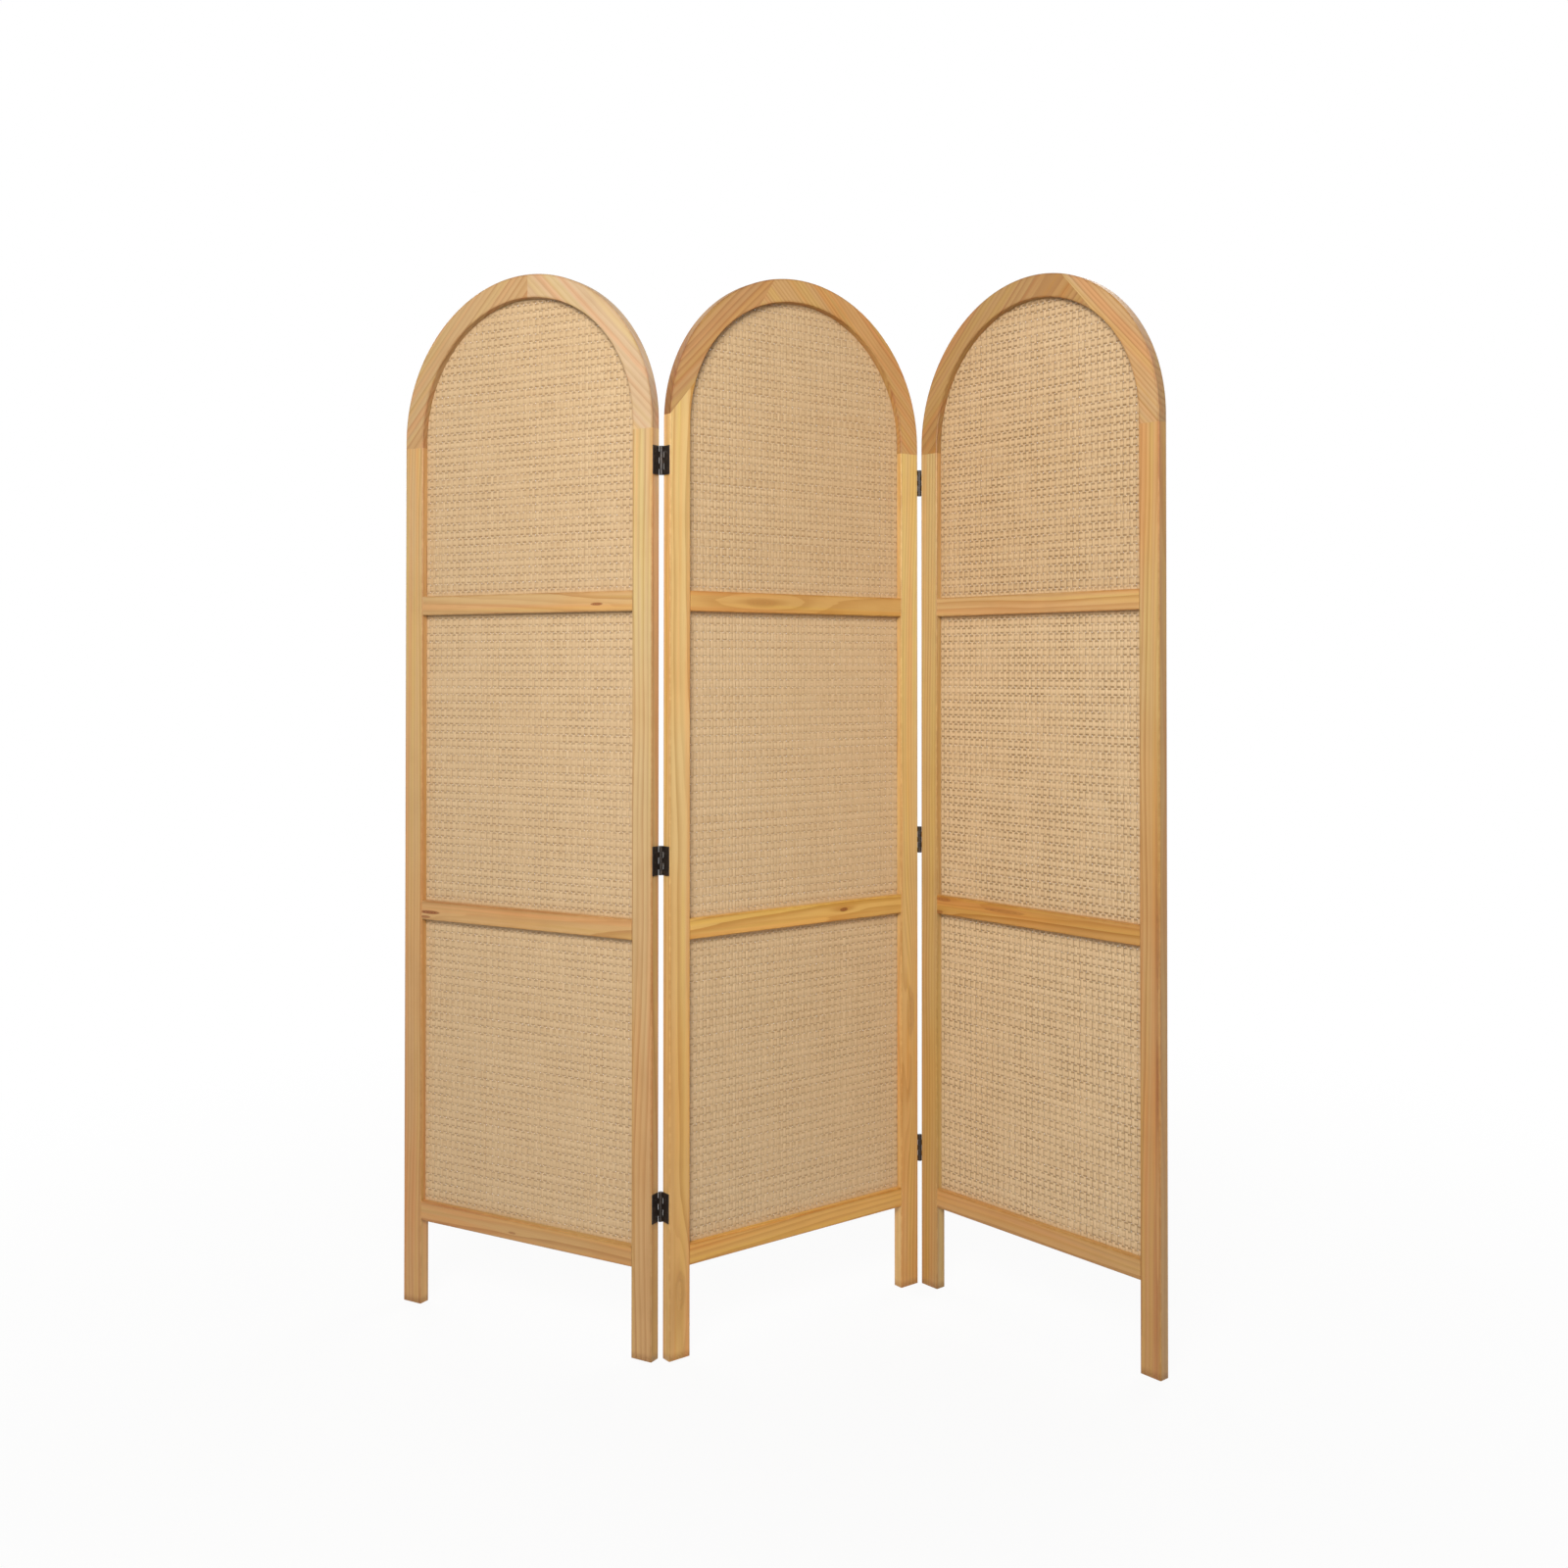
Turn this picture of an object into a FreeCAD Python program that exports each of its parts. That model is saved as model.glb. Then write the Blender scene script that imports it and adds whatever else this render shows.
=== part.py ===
import FreeCAD, Part
import math
import os
import Sketcher

# Arched folding screen: three pine frames with cane webbing, joined by black butt hinges.
#
# Each panel is drawn standing upright in its own frame: x across it from the left edge,
# y from the front face to the back, z up from the floor. A panel's placement then stands
# it in the zigzag, whose footprint is centred on the origin. Each hinge is drawn about its
# pin, with the wood it is screwed to on the +x side and the leaf reaching towards +y.

SIZES = (
    # The frames
    ("panel_width", "508", "one panel, edge to edge"),
    ("panel_height", "1700", "floor to crown"),
    ("frame_width", "38", "face of a stile and of the arch"),
    ("frame_depth", "19", "thickness of the frame stock"),
    ("arris_size", "1.2", "bevel planed off each long edge"),
    ("floor_gap", "139", "floor to the underside of the bottom rail"),
    ("lower_field", "471", "opening between bottom and middle rail"),
    ("middle_field", "478", "opening between middle and top rail"),
    ("rail_width", "32", "face of a rail"),
    ("rail_recess", "0.5", "rail face behind the stile face"),
    # The glue joints of the frames
    ("joint_drop", "12", "square stile joint, below the springing of the arch"),
    ("slant_outer_rise", "10", "slanted joint above the springing, at the outer edge"),
    ("slant_inner_rise", "55", "slanted joint above the springing, at the inner edge"),
    ("left_crown_top", "8", "left panel's crown joint, right of the middle, at the top"),
    ("left_crown_foot", "8", "the same joint one frame width lower"),
    ("centre_crown_top", "-50", "centre panel's crown joint"),
    ("centre_crown_foot", "-74", "the same joint one frame width lower"),
    ("right_crown_top", "56", "right panel's crown joint"),
    ("right_crown_foot", "91", "the same joint one frame width lower"),
    ("dowel_diameter", "6", "beech dowels in every joint"),
    ("dowel_length", "30", "dowel, end to end"),
    ("rail_dowel_spacing", "10", "dowel pair in a rail's end"),
    ("arch_dowel_spacing", "14", "dowel pair in an arch joint"),
    ("dowel_end_play", "0.5", "glue room at each end of a dowel"),
    ("dowel_glue_gap", "0.05", "glue round a dowel"),
    # The webbing and its beads, let into a rebate behind a front lip
    ("rebate_width", "6", "width of the rebate round an opening"),
    ("lip_depth", "11", "front face to the webbing"),
    ("webbing_thickness", "2", "woven sheet"),
    ("webbing_margin", "0.5", "sheet short of the rebate's wall"),
    ("bead_play", "0.2", "bead short of the rebate's wall"),
    # The hinges
    ("hinge_height", "45", "leaf and barrel"),
    ("hinge_low_rise", "62", "middle of the lowest hinge above the bottom rail"),
    ("hinge_middle_rise", "92", "middle of the middle hinge above the middle rail"),
    ("hinge_high_drop", "49", "middle of the top hinge below the square stile joint"),
    ("barrel_diameter", "7", "outside of a knuckle"),
    ("barrel_standoff", "0.5", "pin's axis outside the frame's face"),
    ("pin_diameter", "3.4", "hinge pin"),
    ("pin_play", "0.05", "running clearance round the pin"),
    ("leaf_thickness", "1.5", "hinge plate"),
    ("leaf_margin", "1", "plate short of the stile's far arris"),
    ("knuckle_play", "0.3", "gap between neighbouring knuckles"),
    ("screw_spacing", "26", "two screws in a leaf"),
    ("screw_inset", "11", "screws from the pin's axis"),
    ("screw_head", "6", "countersunk head, diameter"),
    ("screw_shank", "3", "shank, diameter"),
    ("screw_length", "15", "shank in the wood"),
    ("screw_play", "0.1", "clearance round a screw in the leaf"),
    # How the screen stands
    ("centre_turn", "38.4", "degrees, centre panel turned from the x axis"),
    ("left_fold", "67.2", "degrees, left hinge line folded from flat"),
    ("right_fold", "87", "degrees, right hinge line folded from flat"),
)

DERIVED = (
    ("half_width", "panel_width / 2"),
    ("spring_height", "panel_height - half_width"),
    ("inner_right", "panel_width - frame_width"),
    ("bottom_rail_top", "floor_gap + rail_width"),
    ("middle_rail_foot", "bottom_rail_top + lower_field"),
    ("middle_rail_top", "middle_rail_foot + rail_width"),
    ("top_rail_foot", "middle_rail_top + middle_field"),
    ("top_rail_top", "top_rail_foot + rail_width"),
    # Rebated beds for the webbing
    ("bed_left", "frame_width - rebate_width"),
    ("bed_right", "panel_width - bed_left"),
    ("bed_bottom_foot", "bottom_rail_top - rebate_width"),
    ("bed_bottom_top", "middle_rail_foot + rebate_width"),
    ("bed_middle_foot", "middle_rail_top - rebate_width"),
    ("bed_middle_top", "top_rail_foot + rebate_width"),
    ("bed_top_foot", "top_rail_top - rebate_width"),
    ("bed_depth", "frame_depth - lip_depth"),
    ("bead_depth", "bed_depth - webbing_thickness"),
    # The sheets of webbing in those beds
    ("sheet_left", "bed_left + webbing_margin"),
    ("sheet_right", "bed_right - webbing_margin"),
    ("sheet_bottom_foot", "bed_bottom_foot + webbing_margin"),
    ("sheet_bottom_top", "bed_bottom_top - webbing_margin"),
    ("sheet_middle_foot", "bed_middle_foot + webbing_margin"),
    ("sheet_middle_top", "bed_middle_top - webbing_margin"),
    ("sheet_top_foot", "bed_top_foot + webbing_margin"),
    # Saw lines, drawn one frame width past the wood
    ("saw_left", "-frame_width"),
    ("saw_right", "panel_width + frame_width"),
    ("saw_inside_left", "2 * frame_width"),
    ("saw_inside_right", "panel_width - 2 * frame_width"),
    ("saw_top", "panel_height + frame_width"),
    ("saw_depth", "3 * frame_depth"),
    ("square_joint", "spring_height - joint_drop"),
    ("slant_outer", "spring_height + slant_outer_rise"),
    ("slant_inner", "spring_height + slant_inner_rise"),
    ("slant_outside", "2 * slant_outer - slant_inner"),
    ("slant_inside", "2 * slant_inner - slant_outer"),
    ("crown_under", "panel_height - 3 * frame_width"),
    ("left_crown_over", "half_width + 2 * left_crown_top - left_crown_foot"),
    ("left_crown_under", "half_width + 3 * left_crown_foot - 2 * left_crown_top"),
    ("centre_crown_over", "half_width + 2 * centre_crown_top - centre_crown_foot"),
    ("centre_crown_under", "half_width + 3 * centre_crown_foot - 2 * centre_crown_top"),
    ("right_crown_over", "half_width + 2 * right_crown_top - right_crown_foot"),
    ("right_crown_under", "half_width + 3 * right_crown_foot - 2 * right_crown_top"),
    # Middles of the hinges above the floor
    ("hinge_low", "bottom_rail_top + hinge_low_rise"),
    ("hinge_middle", "middle_rail_top + hinge_middle_rise"),
    ("hinge_high", "square_joint - hinge_high_drop"),
    # Hinge leaf, in the hinge's own frame: five knuckles with four gaps between them
    ("barrel_radius", "barrel_diameter / 2"),
    ("leaf_face", "barrel_radius - leaf_thickness"),
    ("leaf_start", "barrel_radius + knuckle_play"),
    ("leaf_end", "barrel_standoff + frame_depth - leaf_margin"),
    ("knuckle_length", "(hinge_height - 4 * knuckle_play) / 5"),
    ("knuckle_pitch", "knuckle_length + knuckle_play"),
    ("hinge_foot", "-hinge_height / 2"),
    ("second_knuckle", "hinge_foot + knuckle_pitch"),
)

PANELS = ("left", "centre", "right")
RAILS = {"bottom": "floor_gap", "middle": "middle_rail_foot", "top": "top_rail_foot"}
RAIL_TOPS = {"bottom": "bottom_rail_top", "middle": "middle_rail_top", "top": "top_rail_top"}
FIELDS = ("bottom", "middle", "top")
HINGE_LEVELS = {"bottom": "hinge_low", "middle": "hinge_middle", "top": "hinge_high"}
# Each hinged edge: panel, fold, side of the panel, +1 where the pin is at the back face.
HINGED_EDGES = (
    ("left", "left", "right", 1),
    ("centre", "left", "left", 1),
    ("centre", "right", "right", -1),
    ("right", "right", "left", -1),
)
ORIGIN = FreeCAD.Vector(0, 0, 0)
X_AXIS = FreeCAD.Vector(1, 0, 0)
Y_AXIS = FreeCAD.Vector(0, 1, 0)
Z_AXIS = FreeCAD.Vector(0, 0, 1)
TOLERANCE = 1e-4

doc = FreeCAD.newDocument("folding_screen")
sheet = doc.addObject("Spreadsheet::Sheet", "Sizes")
nodes = []


# ---------------------------------------------------------------- the sheet

def fill_sheet():
    """Write the driving sizes as numbers and the sizes worked out from them as formulas."""
    row = 1
    for alias, number, meaning in SIZES:
        sheet.set("A%d" % row, alias)
        sheet.set("B%d" % row, number)
        sheet.set("C%d" % row, meaning)
        sheet.setAlias("B%d" % row, alias)
        row += 1
    for alias, formula in DERIVED:
        sheet.set("A%d" % row, alias)
        sheet.set("B%d" % row, "=" + formula)
        sheet.setAlias("B%d" % row, alias)
        row += 1
    doc.recompute()


def size(alias):
    """The number in the cell with this alias."""
    return float(sheet.get(alias))


def bind(thing, **formulas):
    """Tie properties of an object to formulas in aliases of the sheet."""
    for name, formula in formulas.items():
        thing.setExpression(name, formula)


def ref(alias):
    """How a formula outside the sheet names this cell."""
    return "Sizes." + alias


# ---------------------------------------------------------------- sketches

def new_body(name):
    """An empty body to sketch and pad in."""
    return doc.addObject("PartDesign::Body", name)


def new_sketch(body, name, role, offset=None):
    """A sketch on one of the body's origin planes, moved along its normal by a sheet cell."""
    sketch = body.newObject("Sketcher::SketchObject", name)
    plane = [item for item in body.Origin.OriginFeatures if item.Role == role][0]
    sketch.AttachmentSupport = (plane, [""])
    sketch.MapMode = "FlatFace"
    if offset:
        sketch.setExpression("AttachmentOffset.Base.z", offset)
    return sketch


def pin_point(sketch, element, end, alias, direction):
    """Hold one coordinate of a point at a sheet cell's value, or on the axis for None."""
    if alias is None:
        axis = -2 if direction == "DistanceX" else -1
        sketch.addConstraint(Sketcher.Constraint("PointOnObject", element, end, axis))
        return
    index = sketch.addConstraint(
        Sketcher.Constraint(direction, -1, 1, element, end, size(alias)))
    sketch.setExpression("Constraints[%d]" % index, ref(alias))


def draw_outline(sketch, corners):
    """Draw a closed outline through corners given as pairs of sheet aliases.

    A corner with a third word starts a half circle, which runs that way in the sketch.
    """
    first = sketch.GeometryCount
    turns = {index: corner[2] for index, corner in enumerate(corners) if len(corner) > 2}
    flats = [[size(alias) if alias else 0 for alias in corner[:2]] for corner in corners]
    places = [FreeCAD.Vector(x, z, 0) for x, z in flats]
    count = len(corners)
    starts = {}
    for index, start in enumerate(places):
        end = places[(index + 1) % count]
        turn = turns.get(index)
        if turn is None:
            sketch.addGeometry(Part.LineSegment(start, end))
            starts[index] = (1, 2)
            continue
        middle = (start + end) / 2
        circle = Part.Circle(middle, Z_AXIS, (end - start).Length / 2)
        angle = math.atan2(start.y - middle.y, start.x - middle.x)
        if turn == "clockwise":
            angle -= math.pi
        sketch.addGeometry(Part.ArcOfCircle(circle, angle, angle + math.pi))
        starts[index] = (2, 1) if turn == "clockwise" else (1, 2)
    for index in range(count):
        following = (index + 1) % count
        sketch.addConstraint(Sketcher.Constraint(
            "Coincident", first + index, starts[index][1],
            first + following, starts[following][0]))
    for index, corner in enumerate(corners):
        pin_point(sketch, first + index, starts[index][0], corner[0], "DistanceX")
        pin_point(sketch, first + index, starts[index][0], corner[1], "DistanceY")
    for index in turns:
        pin_point(sketch, first + index, 3, corners[index][1], "DistanceY")


def box_corners(left, right, foot, top):
    """The corners of an upright rectangle, from its foot on the left."""
    return ((left, foot), (right, foot), (right, top), (left, top))


def arch_corners(left, right, foot, spring):
    """The corners of an upright rectangle that ends in a half circle."""
    return ((left, foot), (right, foot), (right, spring, "anticlockwise"), (left, spring))


def draw_circle(sketch, formula, radius):
    """A circle about the sketch's origin, its radius tied to a formula."""
    index = sketch.addGeometry(Part.Circle(ORIGIN, Z_AXIS, radius))
    sketch.addConstraint(Sketcher.Constraint("Coincident", index, 3, -1, 1))
    constraint = sketch.addConstraint(Sketcher.Constraint("Radius", index, radius))
    sketch.setExpression("Constraints[%d]" % constraint, formula)


def pad_back(body, name, sketch, length):
    """Pad a front-view sketch away from the viewer, towards +y."""
    pad = body.newObject("PartDesign::Pad", name)
    pad.Profile = sketch
    pad.setExpression("Length", length)
    pad.Reversed = True
    return pad


def slab(name, corners, front, depth):
    """A body padded from a front-view outline, from y = front over a depth."""
    body = new_body(name)
    sketch = new_sketch(body, name + "_outline", "XZ_Plane", "-(%s)" % front)
    draw_outline(sketch, corners)
    pad_back(body, name + "_pad", sketch, depth)
    return body


# ---------------------------------------------------------------- solids

def cylinder(name, radius, length, placement):
    """A cylinder along the placement's z axis, from its origin."""
    rod = doc.addObject("Part::Cylinder", name)
    bind(rod, Radius=radius, Height=length)
    rod.Placement = placement
    return rod


def fuse(name, shapes):
    """Several solids as one."""
    joined = doc.addObject("Part::MultiFuse", name)
    joined.Shapes = shapes
    return joined


def cut(name, base, tool):
    """The base with the tool taken away."""
    result = doc.addObject("Part::Cut", name)
    result.Base = base
    result.Tool = tool
    return result


def common(name, base, tool):
    """What the base and the tool share."""
    result = doc.addObject("Part::Common", name)
    result.Base = base
    result.Tool = tool
    return result


def group(name, solids):
    """Several solids kept apart in one object."""
    compound = doc.addObject("Part::Compound", name)
    compound.Links = solids
    return compound


def keep(name, thing, placement):
    """Make an object one of the screen's own pieces, standing where it belongs."""
    thing.Label = name
    thing.Placement = placement
    nodes.append(thing)


def plane_arrises(body, shape, chosen):
    """Bevel the edges of the body's last feature that the test picks."""
    names = ["Edge%d" % (number + 1) for number, edge in enumerate(shape.Edges) if chosen(edge)]
    base = body.Tip
    bevel = body.newObject("PartDesign::Chamfer", body.Name + "_arris")
    bevel.Base = (base, names)
    bevel.setExpression("Size", ref("arris_size"))


def on_face(edge, front, back):
    """Whether an edge lies wholly in the front or in the back face."""
    depths = [vertex.Y for vertex in edge.Vertexes]
    return any(all(abs(depth - face) < TOLERANCE for depth in depths) for face in (front, back))


# ---------------------------------------------------------------- how the screen stands

def pivot(side, back):
    """The pin's place beside a panel's left or right edge, at its back or front face."""
    radius = size("barrel_radius")
    x = -radius if side == "left" else size("panel_width") + radius
    standoff = size("barrel_standoff")
    y = size("frame_depth") + standoff if back > 0 else -standoff
    return FreeCAD.Vector(x, y, 0)


def turned(angle):
    """A turn about the upright axis, in degrees."""
    return FreeCAD.Placement(ORIGIN, FreeCAD.Rotation(Z_AXIS, angle))


def moved(vector):
    """A shift with no turn."""
    return FreeCAD.Placement(vector, FreeCAD.Rotation())


def stand_panels():
    """Each panel's placement, with the middle of the footprint's box at the origin."""
    centre = turned(size("centre_turn"))
    left = centre * moved(pivot("left", 1)) * turned(-size("left_fold")) * moved(-pivot("right", 1))
    right = centre * moved(pivot("right", -1)) * turned(-size("right_fold")) * moved(-pivot("left", -1))
    placements = {"left": left, "centre": centre, "right": right}
    corners = [placement.multVec(FreeCAD.Vector(x, y, 0))
               for placement in placements.values()
               for x in (0, size("panel_width"))
               for y in (0, size("frame_depth"))]
    xs = [corner.x for corner in corners]
    ys = [corner.y for corner in corners]
    middle = FreeCAD.Vector((min(xs) + max(xs)) / 2, (min(ys) + max(ys)) / 2, 0)
    return {name: moved(-middle) * placement for name, placement in placements.items()}


def hinge_placement(side, back, level):
    """A hinge's own frame in its panel's: wood on +x, leaf towards +y, pin along z."""
    wood = 1 if side == "left" else -1
    across = FreeCAD.Rotation(FreeCAD.Matrix(wood, 0, 0, 0, 0, -back, 0, 0, 0, 0, -wood * back, 0))
    place = pivot(side, back) + Z_AXIS * size(HINGE_LEVELS[level])
    return FreeCAD.Placement(place, across)


def screw_placements():
    """The two screws of a leaf in the hinge's frame, with z pointing into the wood."""
    into_wood = FreeCAD.Rotation(Y_AXIS, 90)
    offsets = (-size("screw_spacing") / 2, size("screw_spacing") / 2)
    return [FreeCAD.Placement(FreeCAD.Vector(size("leaf_face"), size("screw_inset"), offset), into_wood)
            for offset in offsets]


# ---------------------------------------------------------------- frames

def dowel_pair(middle, along, across, spacing):
    """Two dowel centres either side of a point, with the direction they run in."""
    return [(middle + across * offset, along) for offset in (-spacing / 2, spacing / 2)]


def crown_point(panel, radius):
    """Where a panel's crown joint crosses a circle about the arch's centre."""
    top = size(panel + "_crown_top")
    lean = (top - size(panel + "_crown_foot")) / size("frame_width")
    level = top - lean * size("half_width")
    square = 1 + lean * lean
    rise = (math.sqrt(square * radius * radius - level * level) - level * lean) / square
    return FreeCAD.Vector(level + lean * rise, 0, rise)


def joint_height(panel, side, inset):
    """Height of the joint between stile and arch, an inset from the frame's outer edge."""
    if (panel, side) != ("centre", "left"):
        return size("square_joint")
    slope = (size("slant_inner") - size("slant_outer")) / size("frame_width")
    return size("slant_outer") + slope * inset


def dowel_places(panel):
    """Centre and direction of every dowel in a panel."""
    depth = size("frame_depth") / 2
    places = []
    for foot in RAILS.values():
        height = size(foot) + size("rail_width") / 2
        for x in (size("frame_width"), size("inner_right")):
            middle = FreeCAD.Vector(x, depth, height)
            places += dowel_pair(middle, X_AXIS, Z_AXIS, size("rail_dowel_spacing"))
    spacing = size("arch_dowel_spacing")
    half = size("frame_width") / 2
    for side in ("left", "right"):
        for inset in (half - spacing / 2, half + spacing / 2):
            x = inset if side == "left" else size("panel_width") - inset
            height = joint_height(panel, side, inset)
            places.append((FreeCAD.Vector(x, depth, height), Z_AXIS))
    centre = FreeCAD.Vector(size("half_width"), depth, size("spring_height"))
    ring = size("half_width") - half
    for radius in (ring - spacing / 2, ring + spacing / 2):
        spoke = crown_point(panel, radius)
        tangent = FreeCAD.Vector(spoke.z, 0, -spoke.x)
        places.append((centre + spoke, tangent.normalize()))
    return places


def dowel_placement(middle, along, length):
    """Where a rod of this length lies when its middle and direction are given."""
    rotation = FreeCAD.Rotation(Z_AXIS, along)
    return FreeCAD.Placement(middle - along * (length / 2), rotation)


def make_dowels(panel, placement):
    """The panel's dowels as one group, and their bores as a list of tools."""
    dowels = []
    bores = []
    length = size("dowel_length")
    bore_length = length + 2 * size("dowel_end_play")
    for number, (middle, along) in enumerate(dowel_places(panel)):
        dowels.append(cylinder(
            "%s_dowel_%d" % (panel, number), ref("dowel_diameter") + " / 2", ref("dowel_length"),
            dowel_placement(middle, along, length)))
        bores.append(cylinder(
            "%s_bore_%d" % (panel, number),
            ref("dowel_diameter") + " / 2 + " + ref("dowel_glue_gap"),
            ref("dowel_length") + " + 2 * " + ref("dowel_end_play"),
            dowel_placement(middle, along, bore_length)))
    keep(panel + "_dowels", group(panel + "_dowels", dowels), placement)
    return bores


def make_pilots(panel):
    """Pilot bores for the hinge screws in a panel's stiles."""
    pilots = []
    through_leaf = moved(Z_AXIS * size("leaf_thickness"))
    for owner, fold, side, back in HINGED_EDGES:
        if owner != panel:
            continue
        for level in HINGE_LEVELS:
            hinge = hinge_placement(side, back, level)
            for number, screw in enumerate(screw_placements()):
                name = "%s_pilot_%s_%s_%d" % (panel, fold, level, number)
                pilots.append(cylinder(
                    name, ref("screw_shank") + " / 2", ref("screw_length"),
                    hinge * screw * through_leaf))
    return pilots


def make_beds():
    """The rebated beds of the webbing, cut from lip to back in every panel."""
    corners = {
        "bottom": box_corners("bed_left", "bed_right", "bed_bottom_foot", "bed_bottom_top"),
        "middle": box_corners("bed_left", "bed_right", "bed_middle_foot", "bed_middle_top"),
        "top": arch_corners("bed_left", "bed_right", "bed_top_foot", "spring_height"),
    }
    return [slab("bed_" + field, corners[field], ref("lip_depth"), ref("frame_depth"))
            for field in FIELDS]


def make_blank():
    """Stiles and arch in one outline, with their long edges bevelled."""
    corners = ((None, None), (None, "spring_height", "clockwise"),
               ("panel_width", "spring_height"), ("panel_width", None),
               ("inner_right", None), ("inner_right", "spring_height", "anticlockwise"),
               ("frame_width", "spring_height"), ("frame_width", None))
    blank = slab("frame_blank", corners, "0", ref("frame_depth"))
    doc.recompute()
    depth = size("frame_depth")

    def long_edge(edge):
        ends = [vertex.Z for vertex in edge.Vertexes]
        return on_face(edge, 0, depth) and max(ends) > TOLERANCE

    plane_arrises(blank, blank.Shape, long_edge)
    return blank


def make_saws(panel):
    """The parts of the outline left of the crown joint and below each stile joint."""
    slanted = panel == "centre"
    outside = "slant_outside" if slanted else "square_joint"
    inside = "slant_inside" if slanted else "square_joint"
    outlines = {
        "stile_left": (("saw_left", "saw_left"), ("saw_inside_left", "saw_left"),
                       ("saw_inside_left", inside), ("saw_left", outside)),
        "stile_right": (("saw_inside_right", "saw_left"), ("saw_right", "saw_left"),
                        ("saw_right", "square_joint"), ("saw_inside_right", "square_joint")),
        "crown": (("saw_left", "saw_left"), (panel + "_crown_under", "saw_left"),
                  (panel + "_crown_under", "crown_under"), (panel + "_crown_over", "saw_top"),
                  ("saw_left", "saw_top")),
    }
    front = "-" + ref("frame_depth")
    return {name: slab("%s_saw_%s" % (panel, name), corners, front, ref("saw_depth"))
            for name, corners in outlines.items()}


def make_frame(panel, placement, blank, voids):
    """Saw the outline into two stiles and two arch segments at the panel's glue joints."""
    saws = make_saws(panel)
    crown = saws["crown"]
    for side in ("left", "right"):
        region = saws["stile_" + side]
        stile = "%s_stile_%s" % (panel, side)
        sawn = common(stile + "_sawn", blank, region)
        keep(stile, cut(stile, sawn, voids), placement)
    arch = panel + "_arch_left"
    waste = fuse(arch + "_waste", [saws["stile_left"], voids])
    keep(arch, cut(arch, common(arch + "_sawn", blank, crown), waste), placement)
    arch = panel + "_arch_right"
    waste = fuse(arch + "_waste", [saws["stile_right"], crown, voids])
    keep(arch, cut(arch, blank, waste), placement)


def make_rails(panel, placement, voids):
    """Three rails between the stiles, faces a little behind the stiles' faces."""
    front = size("rail_recess")
    back = size("frame_depth")
    for level, foot in RAILS.items():
        name = "%s_rail_%s" % (panel, level)
        corners = box_corners("frame_width", "inner_right", foot, RAIL_TOPS[level])
        depth = ref("frame_depth") + " - " + ref("rail_recess")
        blank = slab(name + "_blank", corners, ref("rail_recess"), depth)
        doc.recompute()

        def long_edge(edge):
            ends = [vertex.X for vertex in edge.Vertexes]
            return on_face(edge, front, back) and max(ends) - min(ends) > TOLERANCE

        plane_arrises(blank, blank.Shape, long_edge)
        keep(name, cut(name, blank, voids), placement)


# ---------------------------------------------------------------- webbing and beads

def make_webbing(panel, placement):
    """Three sheets of cane webbing laid in the beds, against the lip."""
    corners = {
        "bottom": box_corners("sheet_left", "sheet_right", "sheet_bottom_foot", "sheet_bottom_top"),
        "middle": box_corners("sheet_left", "sheet_right", "sheet_middle_foot", "sheet_middle_top"),
        "top": arch_corners("sheet_left", "sheet_right", "sheet_top_foot", "spring_height"),
    }
    for field in FIELDS:
        name = "%s_webbing_%s" % (panel, field)
        woven = slab(name, corners[field], ref("lip_depth"), ref("webbing_thickness"))
        keep(name, woven, placement)


def strip(name, left, foot, length, height):
    """A straight bead behind the webbing, from a corner given in numbers."""
    bead = doc.addObject("Part::Box", name)
    bind(bead, Length=length, Width=ref("bead_depth"), Height=height)
    front = size("lip_depth") + size("webbing_thickness")
    bead.Placement = moved(FreeCAD.Vector(left, front, foot))
    return bead


def arch_bead(name):
    """The bent bead round the arched opening, a half ring."""
    front = size("lip_depth") + size("webbing_thickness")
    upright = FreeCAD.Rotation(X_AXIS, -90)
    flat_down = FreeCAD.Rotation(Z_AXIS, 180)
    centre = FreeCAD.Vector(size("half_width"), front, size("spring_height"))
    place = FreeCAD.Placement(centre, upright * flat_down)
    inside = ref("half_width") + " - " + ref("frame_width")
    outside = inside + " + " + ref("rebate_width") + " - " + ref("bead_play")
    disc = cylinder(name + "_disc", outside, ref("bead_depth"), place)
    disc.Angle = 180
    hole = cylinder(name + "_hole", inside, ref("bead_depth"), place)
    return cut(name, disc, hole)


def make_beads(panel, placement):
    """The beads that hold each sheet in its bed, one group to an opening."""
    play = size("bead_play")
    width = ref("rebate_width") + " - " + ref("bead_play")
    opening = ref("inner_right") + " - " + ref("frame_width")
    feet = {"bottom": "bottom_rail_top", "middle": "middle_rail_top", "top": "top_rail_top"}
    heads = {"bottom": "middle_rail_foot", "middle": "top_rail_foot", "top": "spring_height"}
    for field in FIELDS:
        name = "%s_beads_%s" % (panel, field)
        foot = size(feet[field])
        head = size(heads[field])
        bed = size("rebate_width") - play
        tall = "%s - %s + %s - %s" % (ref(heads[field]), ref(feet[field]),
                                      ref("rebate_width"), ref("bead_play"))
        if field != "top":
            tall += " + %s - %s" % (ref("rebate_width"), ref("bead_play"))
        left = size("frame_width")
        right = size("inner_right")
        beads = [
            strip(name + "_left", left - bed, foot - bed, width, tall),
            strip(name + "_right", right, foot - bed, width, tall),
            strip(name + "_foot", left, foot - bed, opening, width),
        ]
        if field == "top":
            beads.append(arch_bead(name + "_arch"))
        else:
            beads.append(strip(name + "_head", left, head, opening, width))
        keep(name, group(name, beads), placement)


# ---------------------------------------------------------------- hinges

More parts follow.
